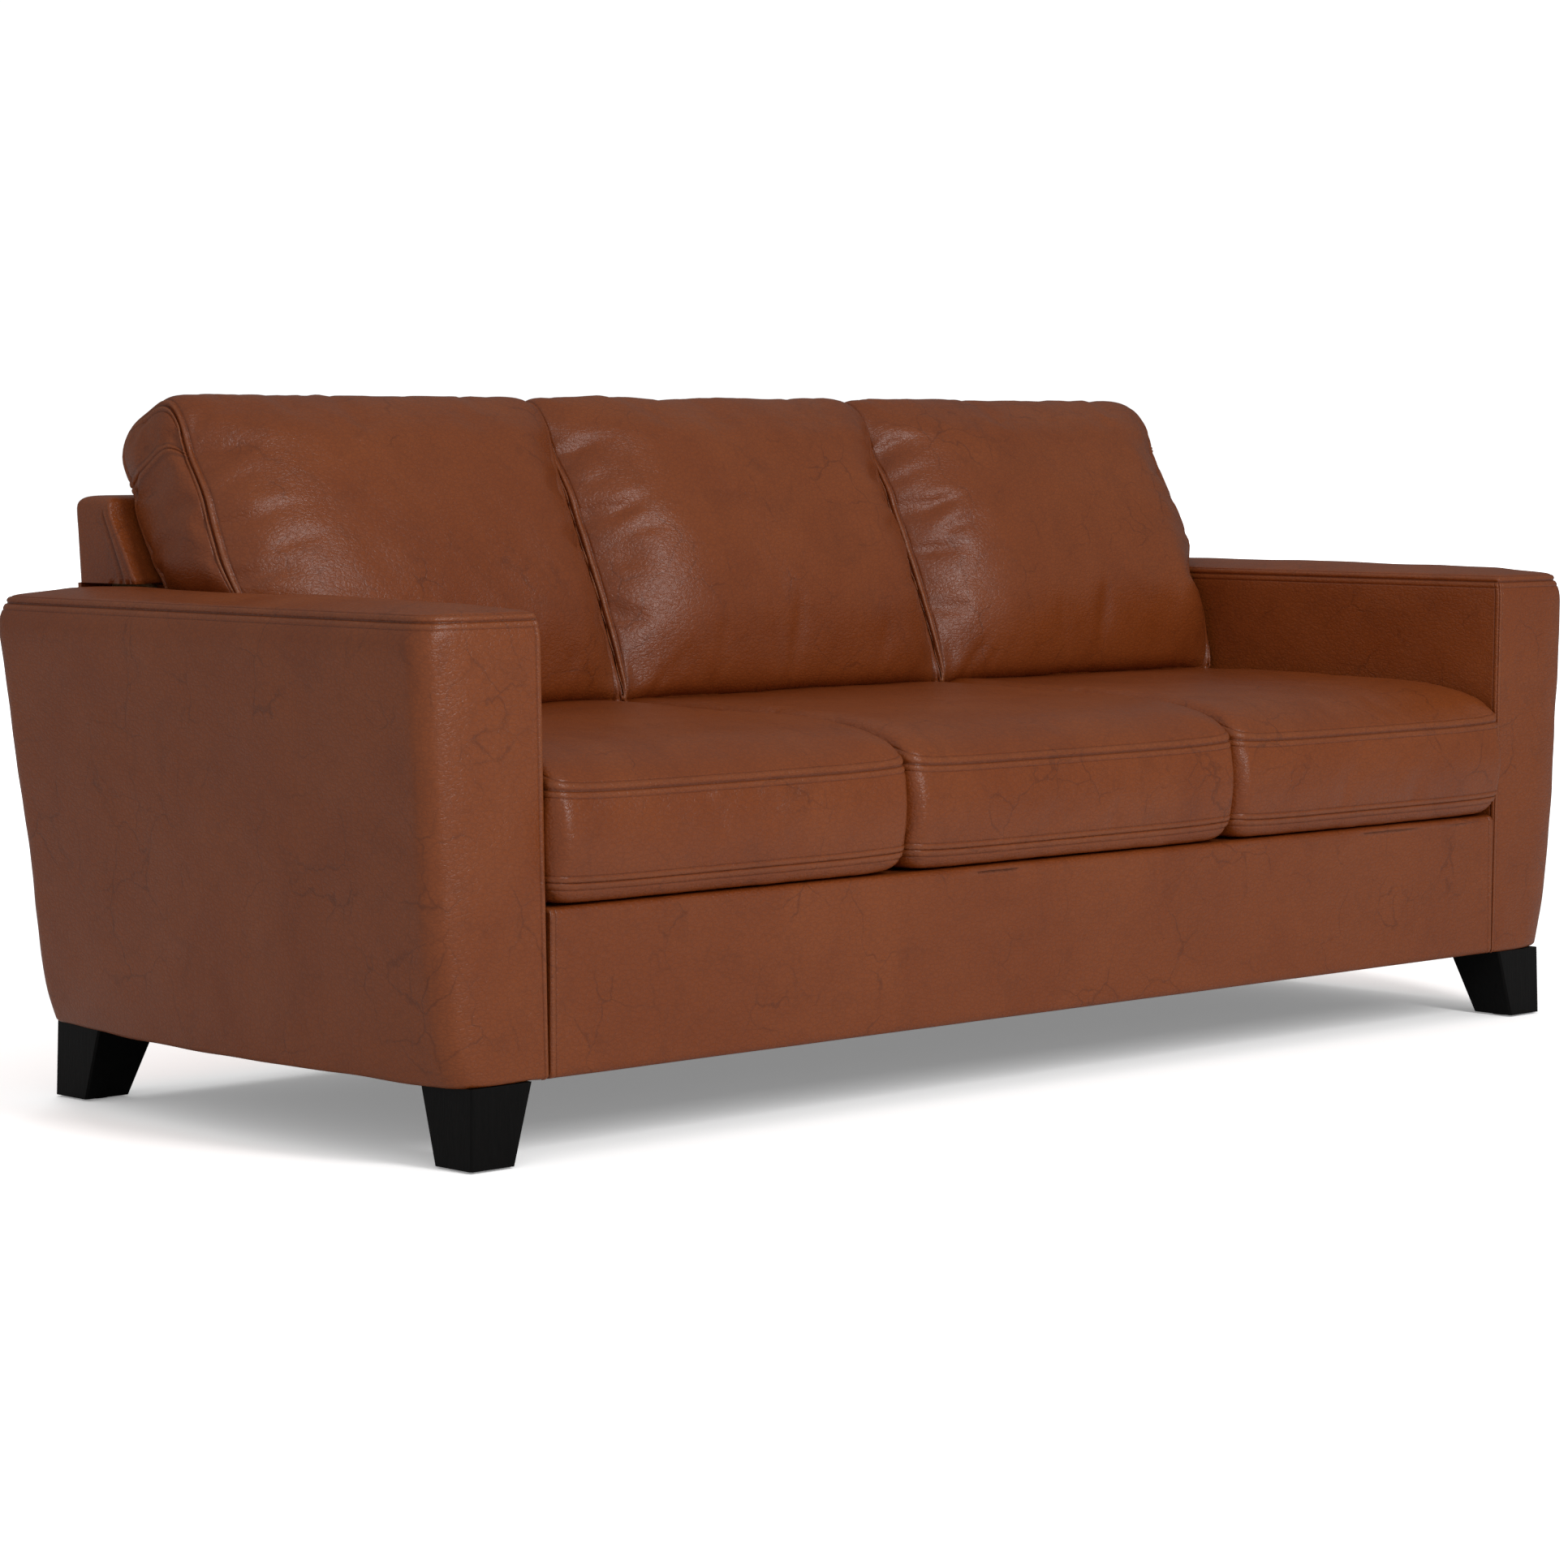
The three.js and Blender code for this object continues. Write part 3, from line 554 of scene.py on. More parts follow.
ARM_WIDTH = 170 * MM  # of the grid that is bent into an arm
ARM_LENGTH = 850 * MM
ARM_CORNERS = [3 * MM, 24 * MM, 3 * MM, 28 * MM]  # front inner, front outer, rear inner, rear outer
ARM_FOOT_RADIUS = 6 * MM
ARM_STEEP_EDGE = 6 * MM
ARM_OUTER_HIGH = 1.060  # an arm's outer face near its top
ARM_SWELL = 26 * MM  # how far the outer face swells out just above its foot
ARM_SLANT = 34 * MM  # and how much further out it gets from there to the top
ARM_BOW = 35 * MM  # how far the foot bows out at the middle
ARM_BOW_MIDDLE = -10 * MM
ARM_BOW_REACH = 415 * MM
ARM_SWEEP = 13 * MM  # how far the front's outer corner lies behind its inner corner


def foot_turn(rise, radius):
    """How far a round lower edge lies inside its wall, at a rise above its foot."""
    return radius * (1 - np.sqrt(1 - np.clip(1 - rise / radius, 0, 1) ** 2))


def lean_in(z, reach, most, power):
    """How far an arm's wall leans in at height z. It does so over the last reach below the top seam."""
    return most * np.clip((z - (ARM_SEAM - reach)) / reach, 0, 1) ** power


def arm_outer_at(y, z):
    """The arm's outer face swells outward as it rises, and its lower edge bows out at the middle."""
    rise = (z - BODY_BOTTOM) / (ARM_SEAM - BODY_BOTTOM)
    from_middle = (y - ARM_BOW_MIDDLE) / ARM_BOW_REACH
    swell = ARM_SWELL * nearing(rise, 0.12) + ARM_SLANT * rise
    bow = ARM_BOW * np.exp(-rise / 0.25) * (1 - from_middle**2)
    return ARM_FOOT + swell + bow


def arm_inner_at(z):
    rise = np.clip((z - BODY_BOTTOM) / (ARM_SEAM - BODY_BOTTOM), 0, 1)
    return ARM_INNER_LOW + (ARM_INNER_HIGH - ARM_INNER_LOW) * rise


def arm_crown(inset):
    """How far the top rises above its seam: fast at the edge, and slowly further in."""
    at_edge = 0.45 * np.sqrt(nearing(inset, 4 * MM))
    further = 0.55 * (fade(inset, -20 * MM, 70 * MM) - fade(0, -20 * MM, 70 * MM))
    return ARM_CROWN * (at_edge + further)


def make_arm(side):
    """One arm's leather: walls with a sewn-on top. side is 1 on the right, and -1 on the left."""
    height = ARM_SEAM - BODY_BOTTOM
    half_width = ARM_WIDTH / 2
    half_length = ARM_LENGTH / 2
    # The outer back runs on behind the arm, whose rear has a step where the outer back ends.
    step_at = (BACK_HALF - ARM_INNER_HIGH) / (ARM_OUTER_HIGH - ARM_INNER_HIGH) * ARM_WIDTH
    us = stations(0, ARM_WIDTH, 7 * MM)
    us = np.sort(np.append(us, [step_at - 0.6 * MM, step_at + 0.6 * MM]))
    vs = stations(0, ARM_LENGTH, 9 * MM)
    foot_rows = np.array([0, 0.6, 1.5, 2.8, 4.4]) * MM
    ws = np.concatenate([foot_rows, stations(ARM_FOOT_RADIUS, height, 9 * MM, seam_low=False)])
    places, quads = lattice(us, vs, ws, bottom=False)
    u, v, w = places.T
    z = BODY_BOTTOM + w
    rings = steepen(u - half_width, v - half_length, half_width, half_length, ARM_STEEP_EDGE)
    x_plan, y_plan, inset = round_corners(*rings, half_width, half_length, ARM_CORNERS)
    across = x_plan / ARM_WIDTH + 0.5
    along = y_plan / ARM_LENGTH + 0.5

    turned_in = foot_turn(w, ARM_FOOT_RADIUS)
    outer_inset = lean_in(z, reach=39 * MM, most=14 * MM, power=2.2) + turned_in
    other_inset = lean_in(z, reach=24 * MM, most=4 * MM, power=2) + turned_in
    front = ARM_FRONT + other_inset
    rear = smooth_along(REAR_LINE, z) - other_inset
    y = front + along * (rear - front)
    y += ARM_SWEEP * np.clip((across - 0.56) / 0.44, 0, 1) ** 2.2 * (1 - along) ** 3
    inner = arm_inner_at(z) + 0.5 * other_inset
    outer = arm_outer_at(y, z) - outer_inset
    x = inner + across * (outer - inner)
    before_back = (x < BACK_HALF + 0.3 * MM) & (along > 0.9)
    step = COVER + 1 * MM
    y = np.where(before_back, y - step * fade(along, 0.93, 0.999), y)
    on_top = w >= height - TINY
    z = np.where(on_top, z + arm_crown(inset), z)
    points = np.stack([x, y, z], 1)

    from_edge = np.minimum(np.minimum(u, ARM_WIDTH - u), np.minimum(v, ARM_LENGTH - v))
    top_seam = np.where(on_top, from_edge, height - w)
    at_corner = np.where(v <= TINY, u, np.where(u <= TINY, v, FAR))
    corner_seam = np.where(on_top, FAR, at_corner)
    near = np.minimum(abs(top_seam), abs(corner_seam))
    normals = normals_of(points, quads)
    puff = 1.0 * MM * ripples(points, 0.22, 11 + side) + 0.35 * MM * ripples(points, 0.07, 21 + side)
    lift = flat_seam(top_seam) + flat_seam(corner_seam) + puff * fade(near, 6 * MM, 40 * MM)
    points = points + normals * lift[:, None]
    points[:, 0] *= side
    if side < 0:
        quads = quads[:, ::-1]

    # There is no leather inside the sofa, below the inner pad.
    centre = points[quads].mean(1)
    hidden = (abs(centre[:, 0]) < ARM_INNER_HIGH) & (centre[:, 2] < INNER_PAD_LOW)
    hidden &= centre[:, 1] > ARM_FRONT + 25 * MM
    name = "arm_cover_right" if side > 0 else "arm_cover_left"
    arm = add_leather(name, points, quads[~hidden], seam_shade(near))
    shell = arm.modifiers.new("leather_thickness", "SOLIDIFY")
    shell.thickness = 2 * MM
    shell.offset = -1
    return arm


# --- Front rail ---

RAIL_LIP_HEIGHT = 5.5 * MM
RAIL_CORNERS = [7 * MM, 1 * MM, 9 * MM, 1 * MM]  # low front, low rear, high front, high rear
RAIL_COLUMNS = [0, 0.1, 0.3, 0.5, 0.75, 1]  # shares of the depth


def make_front_rail():
    """The front rail's cover: a panel with round edges, and a lip that runs back under the seat."""
    depth = span("base_front_rail", 1)[0] - 0.5 * MM - RAIL_FACE
    height = RAIL_TOP - BODY_BOTTOM
    half = RAIL_HALF - 0.5 * MM
    lip_at = height - RAIL_LIP_HEIGHT
    rows = np.append(even_stations(0, height, 6 * MM), [lip_at - 0.3 * MM, lip_at])
    columns = np.array(RAIL_COLUMNS) * depth
    places, quads = lattice(stations(-half, half, 12 * MM), columns, np.sort(rows))
    u, v, w = places.T
    y, z, _ = round_corners(v - depth / 2, w - height / 2, depth / 2, height / 2, RAIL_CORNERS)
    y = RAIL_FACE + depth / 2 + y
    y += np.where(w >= lip_at - 0.1 * MM, (RAIL_LIP - RAIL_FACE - depth) * fade(v / depth, 0.5, 1), 0)
    points = np.stack([u, y, z + BODY_BOTTOM + height / 2], 1)
    end = half - abs(u)
    normals = normals_of(points, quads)
    facing = np.clip(-normals[:, 1], 0, 1)
    lift = flat_seam(end) + 0.9 * MM * ripples(points, 0.25, 5) * fade(end, 8 * MM, 60 * MM)
    points = points + normals * (lift * facing)[:, None]
    return add_leather("front_rail_leather", points, quads, seam_shade(end) * facing)


# --- Fixed back ---

BACK_DEPTH = 72 * MM  # of the grid that is bent into the outer back
BACK_CORNERS = [3 * MM, 3 * MM, 9 * MM, 9 * MM]  # front left, front right, rear left, rear right
BACK_FOOT_RADIUS = 3 * MM
BACK_END_SEAM = 13.5 * MM  # behind the front edge of each end
BACK_REAR_SEAM = 10 * MM  # in from each side of the rear

INNER_BACK_DEPTH = 21 * MM
INNER_BACK_SEAM = 300 * MM  # from the middle to each upright seam


def make_back_cover():
    """The outer back, from the underside of the body up and over its top."""
    wall_top = BACK_SHOULDER + 4 * MM
    low = even_stations(BODY_BOTTOM, END_PAD_LOW - 0.4 * MM, 14 * MM)
    high = even_stations(END_PAD_LOW, wall_top, 8 * MM)
    foot_rows = BODY_BOTTOM + np.array([0, 0.8, 2.0]) * MM
    ws = np.concatenate([foot_rows, low[1:], high])
    places, quads = lattice(
        stations(-BACK_HALF, BACK_HALF, 14 * MM), stations(0, BACK_DEPTH, 6 * MM), ws)
    u, v, w = places.T
    x, y_plan, inset = round_corners(u, v - BACK_DEPTH / 2, BACK_HALF, BACK_DEPTH / 2, BACK_CORNERS)
    along = y_plan / BACK_DEPTH + 0.5
    rear = smooth_along(REAR_LINE, w)
    thin = w < END_PAD_LOW - 0.2 * MM
    front = np.where(thin, rear - COVER, smooth_along(INNER_BACK_LINE, w))
    turned_in = foot_turn(w - BODY_BOTTOM, BACK_FOOT_RADIUS)
    y = front + along * (rear - front) - turned_in * fade(along, 0.5, 1)
    on_top = w >= wall_top - TINY
    crown = (BACK_TOP - wall_top) * np.sqrt(nearing(inset, 6 * MM))
    z = np.where(on_top, w + crown, w)
    points = np.stack([x, y, z], 1)
    normals = normals_of(points, quads)

    from_side = BACK_HALF - abs(u)
    on_end = (from_side <= TINY) & ~on_top & ~thin
    on_rear = (v >= BACK_DEPTH - TINY) & ~on_top
    end_seam = np.where(on_end, v - BACK_END_SEAM, FAR)
    rear_seam = np.where(on_rear, from_side - BACK_REAR_SEAM, FAR)
    near = np.minimum(abs(end_seam), abs(rear_seam))
    soft = fade(np.minimum(from_side, BACK_TOP - z + 10 * MM), 0, 50 * MM)
    lift = flat_seam(near) + 1.4 * MM * ripples(points, 0.30, 31) * soft
    points = points + normals * lift[:, None]
    return add_leather("back_cover", points, quads, seam_shade(near))


def make_inner_back():
    """The padded front of the fixed back, behind the loose cushions."""
    half = INNER_BACK_HALF - 1 * MM
    half_depth = INNER_BACK_DEPTH / 2
    places, quads = lattice(
        stations(-half, half, 16 * MM), np.linspace(0, INNER_BACK_DEPTH, 5),
        even_stations(INNER_BACK_LOW, END_PAD_LOW - 1 * MM, 12 * MM))
    u, v, w = places.T
    x, y_plan, _ = round_corners(u, v - half_depth, half, half_depth, [5 * MM] * 4)
    y = smooth_along(INNER_BACK_LINE, w) + y_plan + half_depth
    points = np.stack([x, y, w], 1)
    normals = normals_of(points, quads)
    from_seam = abs(abs(u) - INNER_BACK_SEAM)
    on_front = v <= TINY
    lift = np.where(on_front, flat_seam(from_seam) + 1.0 * MM * ripples(points, 0.2, 8), 0)
    shade = np.where(on_front, seam_shade(from_seam), 0)
    return add_leather("inner_back_pad", points + normals * lift[:, None], quads, shade)


# --- Seat cushions ---

SEAT_LOW_SEAM = 0.3195  # at the middle of the front
SEAT_HIGH_SEAM = 0.4245
SEAT_WALL = SEAT_HIGH_SEAM - SEAT_LOW_SEAM  # height between the seams
SEAT_LOW_LIFT = 3.5 * MM  # how much higher the low seam is at the corners
SEAT_HIGH_LIFT = 4.5 * MM  # and the high seam
SEAT_FRONT_ROOM = 9.5 * MM  # from the seams to the CAD's front face, for the front's belly
SEAT_FRONT_BELLY = 9.0 * MM
SEAT_REAR_BELLY = 5.0 * MM
SEAT_SIDE_BELLY = 1.8 * MM
SEAT_CORNERS = [20 * MM, 20 * MM, 34 * MM, 34 * MM]  # front left, front right, rear left, rear right
SEAT_STEEP_EDGE = 12 * MM
SEAT_CROWN_GAIN = 1.02  # for a middle that doesn't quite reach the crown's full height


def seat_crown(inset, from_front, from_rear):
    """Share of the crown's full height. It rises fast from the sides, and most slowly from the front."""
    edge, front_roll, rear_roll = 8 * MM, 68 * MM, 24 * MM
    from_front = from_front + 0.1 * MM
    from_rear = from_rear + 0.1 * MM
    slow_front = np.sqrt(nearing(from_front, front_roll) / nearing(from_front, edge))
    slow_rear = np.sqrt(nearing(from_rear, rear_roll) / nearing(from_rear, edge))
    return np.sqrt(nearing(inset, edge)) * slow_front * slow_rear


def seat_plan(box):
    """The rectangle that a seat's seams follow: half its width, half its depth, and its middle."""
    low, high = box
    front = low.y + SEAT_FRONT_ROOM
    middle = ((high.x + low.x) / 2, (high.y + front) / 2)
    return (high.x - low.x) / 2, (high.y - front) / 2, middle


def seat_shape(places, box):
    """A seat cushion's smooth shape. Also gives how far each point lies from the nearest seam."""
    low, high = box
    half_x, half_y, middle = seat_plan(box)
    u, v, w = places.T
    rings = steepen(u, v, half_x, half_y, SEAT_STEEP_EDGE)
    x, y, inset = round_corners(*rings, half_x, half_y, SEAT_CORNERS)
    share = w / SEAT_WALL
    at_corner = (abs(x) / half_x) ** 6
    low_seam = SEAT_LOW_SEAM + SEAT_LOW_LIFT * at_corner
    high_seam = SEAT_HIGH_SEAM + SEAT_HIGH_LIFT * at_corner
    on_top = w >= SEAT_WALL - TINY
    below = w <= TINY
    crown = (high.z - SEAT_HIGH_SEAM) * SEAT_CROWN_GAIN * seat_crown(inset, half_y + y, half_y - y)
    sag = (SEAT_LOW_SEAM - low.z - 0.5 * MM) * nearing(inset, 6 * MM)
    z = low_seam + share * (high_seam - low_seam)
    z = np.where(on_top, high_seam + crown, z)
    z = np.where(below, low_seam - sag - SEAT_LOW_LIFT * at_corner * fade(inset, 0, 40 * MM), z)
    belly = np.sin(np.pi * share)
    outward = np.where(y < 0, SEAT_FRONT_BELLY, SEAT_REAR_BELLY) * (abs(y) / half_y) ** 24
    y = y + np.sign(y) * outward * belly
    x = x + np.sign(x) * SEAT_SIDE_BELLY * belly * (abs(x) / half_x) ** 24
    points = np.stack([x + middle[0], y + middle[1], z], 1)
    from_edge = np.minimum(half_x - abs(u), half_y - abs(v))
    from_seam = np.where(on_top | below, from_edge, np.minimum(w, SEAT_WALL - w))
    return points, from_seam


def seat_swelling(places, box):
    """How far the cloth simulation moves each place of a seat cushion."""
    half_x, half_y, _ = seat_plan(box)
    axes = [even_stations(-half, half, SEAT_SIM_PITCH) for half in (half_x, half_y)]
    axes.append(even_stations(0, SEAT_WALL, SIM_PITCH))
    sim_places, quads = lattice(*axes)
    points, from_seam = seat_shape(sim_places, box)
    on_bottom = sim_places[:, 2] < 1e-6
    held = np.where((from_seam < 1 * MM) | on_bottom, 1.0, 0.10)
    moved = inflate(points, quads, held, pressure=3.0, excess=0.003, most=5 * MM, stiffness=2.0)
    return carried(axes, moved, places)


def make_seat_cushion(name, seed):
    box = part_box(name)
    half_x, half_y, _ = seat_plan(box)
    places, quads = lattice(
        stations(-half_x, half_x, 9 * MM), stations(-half_y, half_y, 9 * MM),
        stations(0, SEAT_WALL, 6 * MM))
    points, seam = seat_shape(places, box)
    points = points + seat_swelling(places, box)
    normals = normals_of(points, quads)
    soft = fade(seam, 8 * MM, 60 * MM)
    puff = 1.2 * MM * ripples(points, 0.26, seed) + 0.3 * MM * ripples(points, 0.07, seed + 50)
    pucker = 0.4 * MM * ripples(points, 0.035, seed + 90) * bell(seam - 16 * MM, 14 * MM)
    lift = flat_seam(seam) + puff * soft + pucker
    points = points + normals * lift[:, None]
    points[:, 2] = np.maximum(points[:, 2], span("seat_deck", 2)[1] + 0.4 * MM)
    return add_leather(name + "_leather", points, quads, seam_shade(seam))


# --- Back cushions ---

# The end panel's outline, [y, z] in metres, from the bottom front corner round the top; the four
# corners are the places where the front, top, rear and bottom meet.
PILLOW_OUTLINE = [
    [0.1035, 0.486], [0.119, 0.530], [0.146, 0.595], [0.176, 0.660], [0.209, 0.730], [0.237, 0.795],
    [0.253, 0.842], [0.275, 0.867], [0.306, 0.8725], [0.345, 0.859], [0.380, 0.838], [0.394, 0.803],
    [0.371, 0.763], [0.358, 0.730], [0.334, 0.690], [0.308, 0.645], [0.279, 0.565], [0.261, 0.508],
    [0.247, 0.482], [0.225, 0.4760], [0.116, 0.4760]]
PILLOW_CORNERS = {"front_low": 0, "front_high": 6, "rear_high": 10, "rear_low": 18}
PILLOW_MIDDLE = np.array([0.235, 0.670])  # [y, z]
PILLOW_FOOT = 0.484  # where the front starts to bulge
PILLOW_PEAK = 0.873
PILLOW_DEPTH = 0.135
PILLOW_HEIGHT = 0.400
PILLOW_BULGE = 58 * MM  # of the front, away from the end panels
PILLOW_RISE = 11 * MM  # of the top, there
PILLOW_TUCK = 20 * MM  # how far back the foot of the front is pulled
PILLOW_TOP_TUCK = 20 * MM  # and the left end's top corner
PILLOW_SHOULDERS = (160 * MM, 90 * MM)  # how far from its left and right ends the bulge is full
SIDE_SEAM_PULL = 0.02  # how far a side seam draws the outline in toward its middle, as a share
CROSS_SEAM = 0.835 * PILLOW_HEIGHT
CROSS_TILT = 0.09  # how much higher it is at the front, as a share of the height
CROSS_ROWS = [-8, -5, -3, -1.6, -0.7, 0, 0.7, 1.6, 3, 5, 8]  # mm from the cross seam
PILLOW_PITCH = 6.5 * MM

# Where each cushion has its middle, half its length, and how far its [left, right] ends swell over an
# arm.
PILLOWS = {
    "left": {"middle": -0.594, "half": 0.290, "puff": (9 * MM, 0)},
    "centre": {"middle": 0, "half": 0.297, "puff": (0, 0)},
    "right": {"middle": 0.594, "half": 0.290, "puff": (0, 26 * MM)},
}


def closed_curve(knots, per_step):
    """Points close together on the smooth closed curve through the knots, per_step from each knot."""
    knots = np.array(knots)
    before, after, beyond = (np.roll(knots, k, axis=0) for k in (1, -1, -2))
    t = (np.arange(per_step) / per_step)[None, :, None]
    p0, p1, p2, p3 = (k[:, None, :] for k in (before, knots, after, beyond))
    curve = 0.5 * (2 * p1 + (p2 - p0) * t + (2 * p0 - 5 * p1 + 4 * p2 - p3) * t**2
                   + (3 * p1 - p0 - 3 * p2 + p3) * t**3)
    return curve.reshape(-1, 2)


class PillowOutline:
    """The end panel's outline as the border of a unit square, and the panel inside it."""

    def __init__(self):
        per_step = 24
        curve = closed_curve(PILLOW_OUTLINE, per_step)
        stop = {corner: knot * per_step for corner, knot in PILLOW_CORNERS.items()}
        looped = np.concatenate([curve, curve[:1]])
        self.front = self.by_length(curve[stop["front_low"]:stop["front_high"] + 1])
        self.top = self.by_length(curve[stop["front_high"]:stop["rear_high"] + 1])
        self.rear = self.by_length(curve[stop["rear_high"]:stop["rear_low"] + 1][::-1])
        self.bottom = self.by_length(looped[stop["rear_low"]:][::-1])

    @staticmethod
    def by_length(points):
        """A side: how far along it each of its points lies, as a share of its length, and the points."""
        steps = np.linalg.norm(np.diff(points, axis=0), axis=1)
        length = np.concatenate([[0], np.cumsum(steps)])
        return length / length[-1], points

    @staticmethod
    def at(side, share):
        length, points = side
        return np.stack([np.interp(share, length, points[:, k]) for k in (0, 1)], 1)

    def place(self, s, t):
        """The [y, z] of a point at share s of the depth and t of the height."""
        column_s, column_t = s[:, None], t[:, None]
        sides = (1 - column_s) * self.at(self.front, t) + column_s * self.at(self.rear, t)
        ends = (1 - column_t) * self.at(self.bottom, s) + column_t * self.at(self.top, s)
        front, rear = self.front[1], self.rear[1]
        flat = ((1 - column_s) * (1 - column_t) * front[0] + column_s * (1 - column_t) * rear[0]
                + (1 - column_s) * column_t * front[-1] + column_s * column_t * rear[-1])
        return sides + ends - flat


OUTLINE = PillowOutline()

# Creases by the side seams. Each is [distance from the seam, height, length, slope, depth]: the slope is
# in degrees, and the rest are in mm.
CREASES = [
    [42, 818, 46, 24, 3.2], [34, 775, 60, 30, 2.6], [62, 742, 62, 27, 4.2], [74, 704, 66, 24, 4.6],
    [46, 668, 58, 20, 3.4], [66, 628, 44, 16, 2.2], [40, 590, 44, 10, 1.8],
    [24, 850, 40, 50, 3.0], [60, 505, 70, 62, 4.0], [92, 520, 46, 66, 2.6]]


def crease_field(from_seam, height, seed, strength):
    """Short folds that run away from a seam: each is a valley with a low ridge above it."""
    rng = np.random.default_rng(seed)
    total = np.zeros(len(from_seam))
    for across, up, length, slope, depth in CREASES:
        shift = rng.uniform(-1, 1, 4)
        angle = math.radians(slope + 7 * shift[0])
        dx = from_seam - (across + 6 * shift[1]) * MM
        dz = height - (up + 7 * shift[2]) * MM
        lengthwise = dx * math.cos(angle) + dz * math.sin(angle)
        crosswise = -dx * math.sin(angle) + dz * math.cos(angle)
        crosswise = crosswise + 0.25 * lengthwise**2 / (length * MM)
        reach = bell(lengthwise, 0.55 * length * MM)
        fold = bell(crosswise, 6.5 * MM) - 0.55 * bell(crosswise - 14 * MM, 9 * MM)
        total -= (1 + 0.25 * shift[3]) * depth * MM * strength * fold * reach
    return total


def pillow_shape(places, half, middle, puff):
    """A back cushion's smooth shape. puff is how far its [left, right] ends swell above the arms.
    Also gives each point's distance from the nearest side seam."""
    u, v, w = places.T
    s, t = v / PILLOW_DEPTH, w / PILLOW_HEIGHT
    lean = CROSS_TILT * (0.5 - s + 0.40 * (1 - s) ** 3)
    tilted = t + lean * np.sin(np.pi * t) / math.sin(np.pi * CROSS_SEAM / PILLOW_HEIGHT)
    yz = OUTLINE.place(s, np.clip(tilted, 0, 1))
    from_end = half - abs(u)
    on_end = from_end <= TINY
    inset = np.minimum(np.minimum(v, PILLOW_DEPTH - v), np.minimum(w, PILLOW_HEIGHT - w))
    from_seam = np.where(on_end, inset, from_end)
    pull = SIDE_SEAM_PULL * np.exp(-from_end / (9 * MM))
    yz = yz + (PILLOW_MIDDLE - yz) * pull[:, None]

    # The front bulges, and it is tucked in along the bottom.
    reach = np.where(u > 0, PILLOW_SHOULDERS[1], PILLOW_SHOULDERS[0])
    swell = np.where(on_end, 0, 1 - np.clip(1 - from_end / reach, 0, 1) ** 2)
    off_seam = np.where(on_end, 0, nearing(from_end, 12 * MM))
    rise = np.clip((yz[:, 1] - PILLOW_FOOT) / (PILLOW_PEAK - PILLOW_FOOT), 0, 1)
    frontness = fade(-s, -0.75, 0.0)
    y = yz[:, 0] - PILLOW_BULGE * swell * np.sin(np.pi * rise) ** 0.75 * frontness
    y = y + PILLOW_TUCK * off_seam * np.exp(-rise / 0.035) * frontness
    z = yz[:, 1] + PILLOW_RISE * off_seam * rise**2

    # An end that swells over an arm also swells forward lower down, and is tucked in at its foot. These
    # are set by heights above the floor, in metres.
    most = np.where(u > 0, puff[1], puff[0])
    outward = most * fade(z, 0.610, 0.680) * (1 - 0.55 * fade(z, 0.69, 0.84))
    end_puff = np.where(on_end, (4.5 * MM + outward) * nearing(inset, 16 * MM), 0)
    at_foot = 0.3 * most * bell(z - 0.476, 28 * MM)
    shoulder = (outward - at_foot) * fade(abs(u) / half, 0.8, 1.0)
    forward = 0.42 * most * bell(z - 0.585, 52 * MM) * fade(abs(u) / half, 0.5, 1.0)
    top_tuck = PILLOW_TOP_TUCK * fade(z, 0.745, 0.835) * fade(-u / half, 0.55, 1.0)
    x = middle + u + np.sign(u) * (end_puff + shoulder)
    y = y + (top_tuck - forward) * frontness
    return np.stack([x, y, z], 1), from_seam


def pillow_swelling(places, half, middle, puff):
    """How far the cloth simulation moves each place of a back cushion. The front moves most."""
    axes = [even_stations(-half, half, SIM_PITCH), even_stations(0, PILLOW_DEPTH, SIM_PITCH),
            even_stations(0, PILLOW_HEIGHT, SIM_PITCH)]
    sim_places, quads = lattice(*axes)
    points, from_seam = pillow_shape(sim_places, half, middle, puff)
    face = fade(-sim_places[:, 1], -0.5 * PILLOW_DEPTH, 0)
    held = np.where(from_seam < 1 * MM, 1.0, 0.25 - 0.22 * face)
    held = np.maximum(held, 0.5 * fade(-sim_places[:, 2], -60 * MM, 0))
    moved = inflate(points, quads, held, pressure=4.0, excess=0.024, most=16 * MM, stiffness=3.0)
    height = points[:, 2:]
    moved *= (0.25 + 0.75 * fade(height, 0.50, 0.62)) * (1 - 0.6 * fade(height, 0.83, 0.87))
    return carried(axes, moved, places)


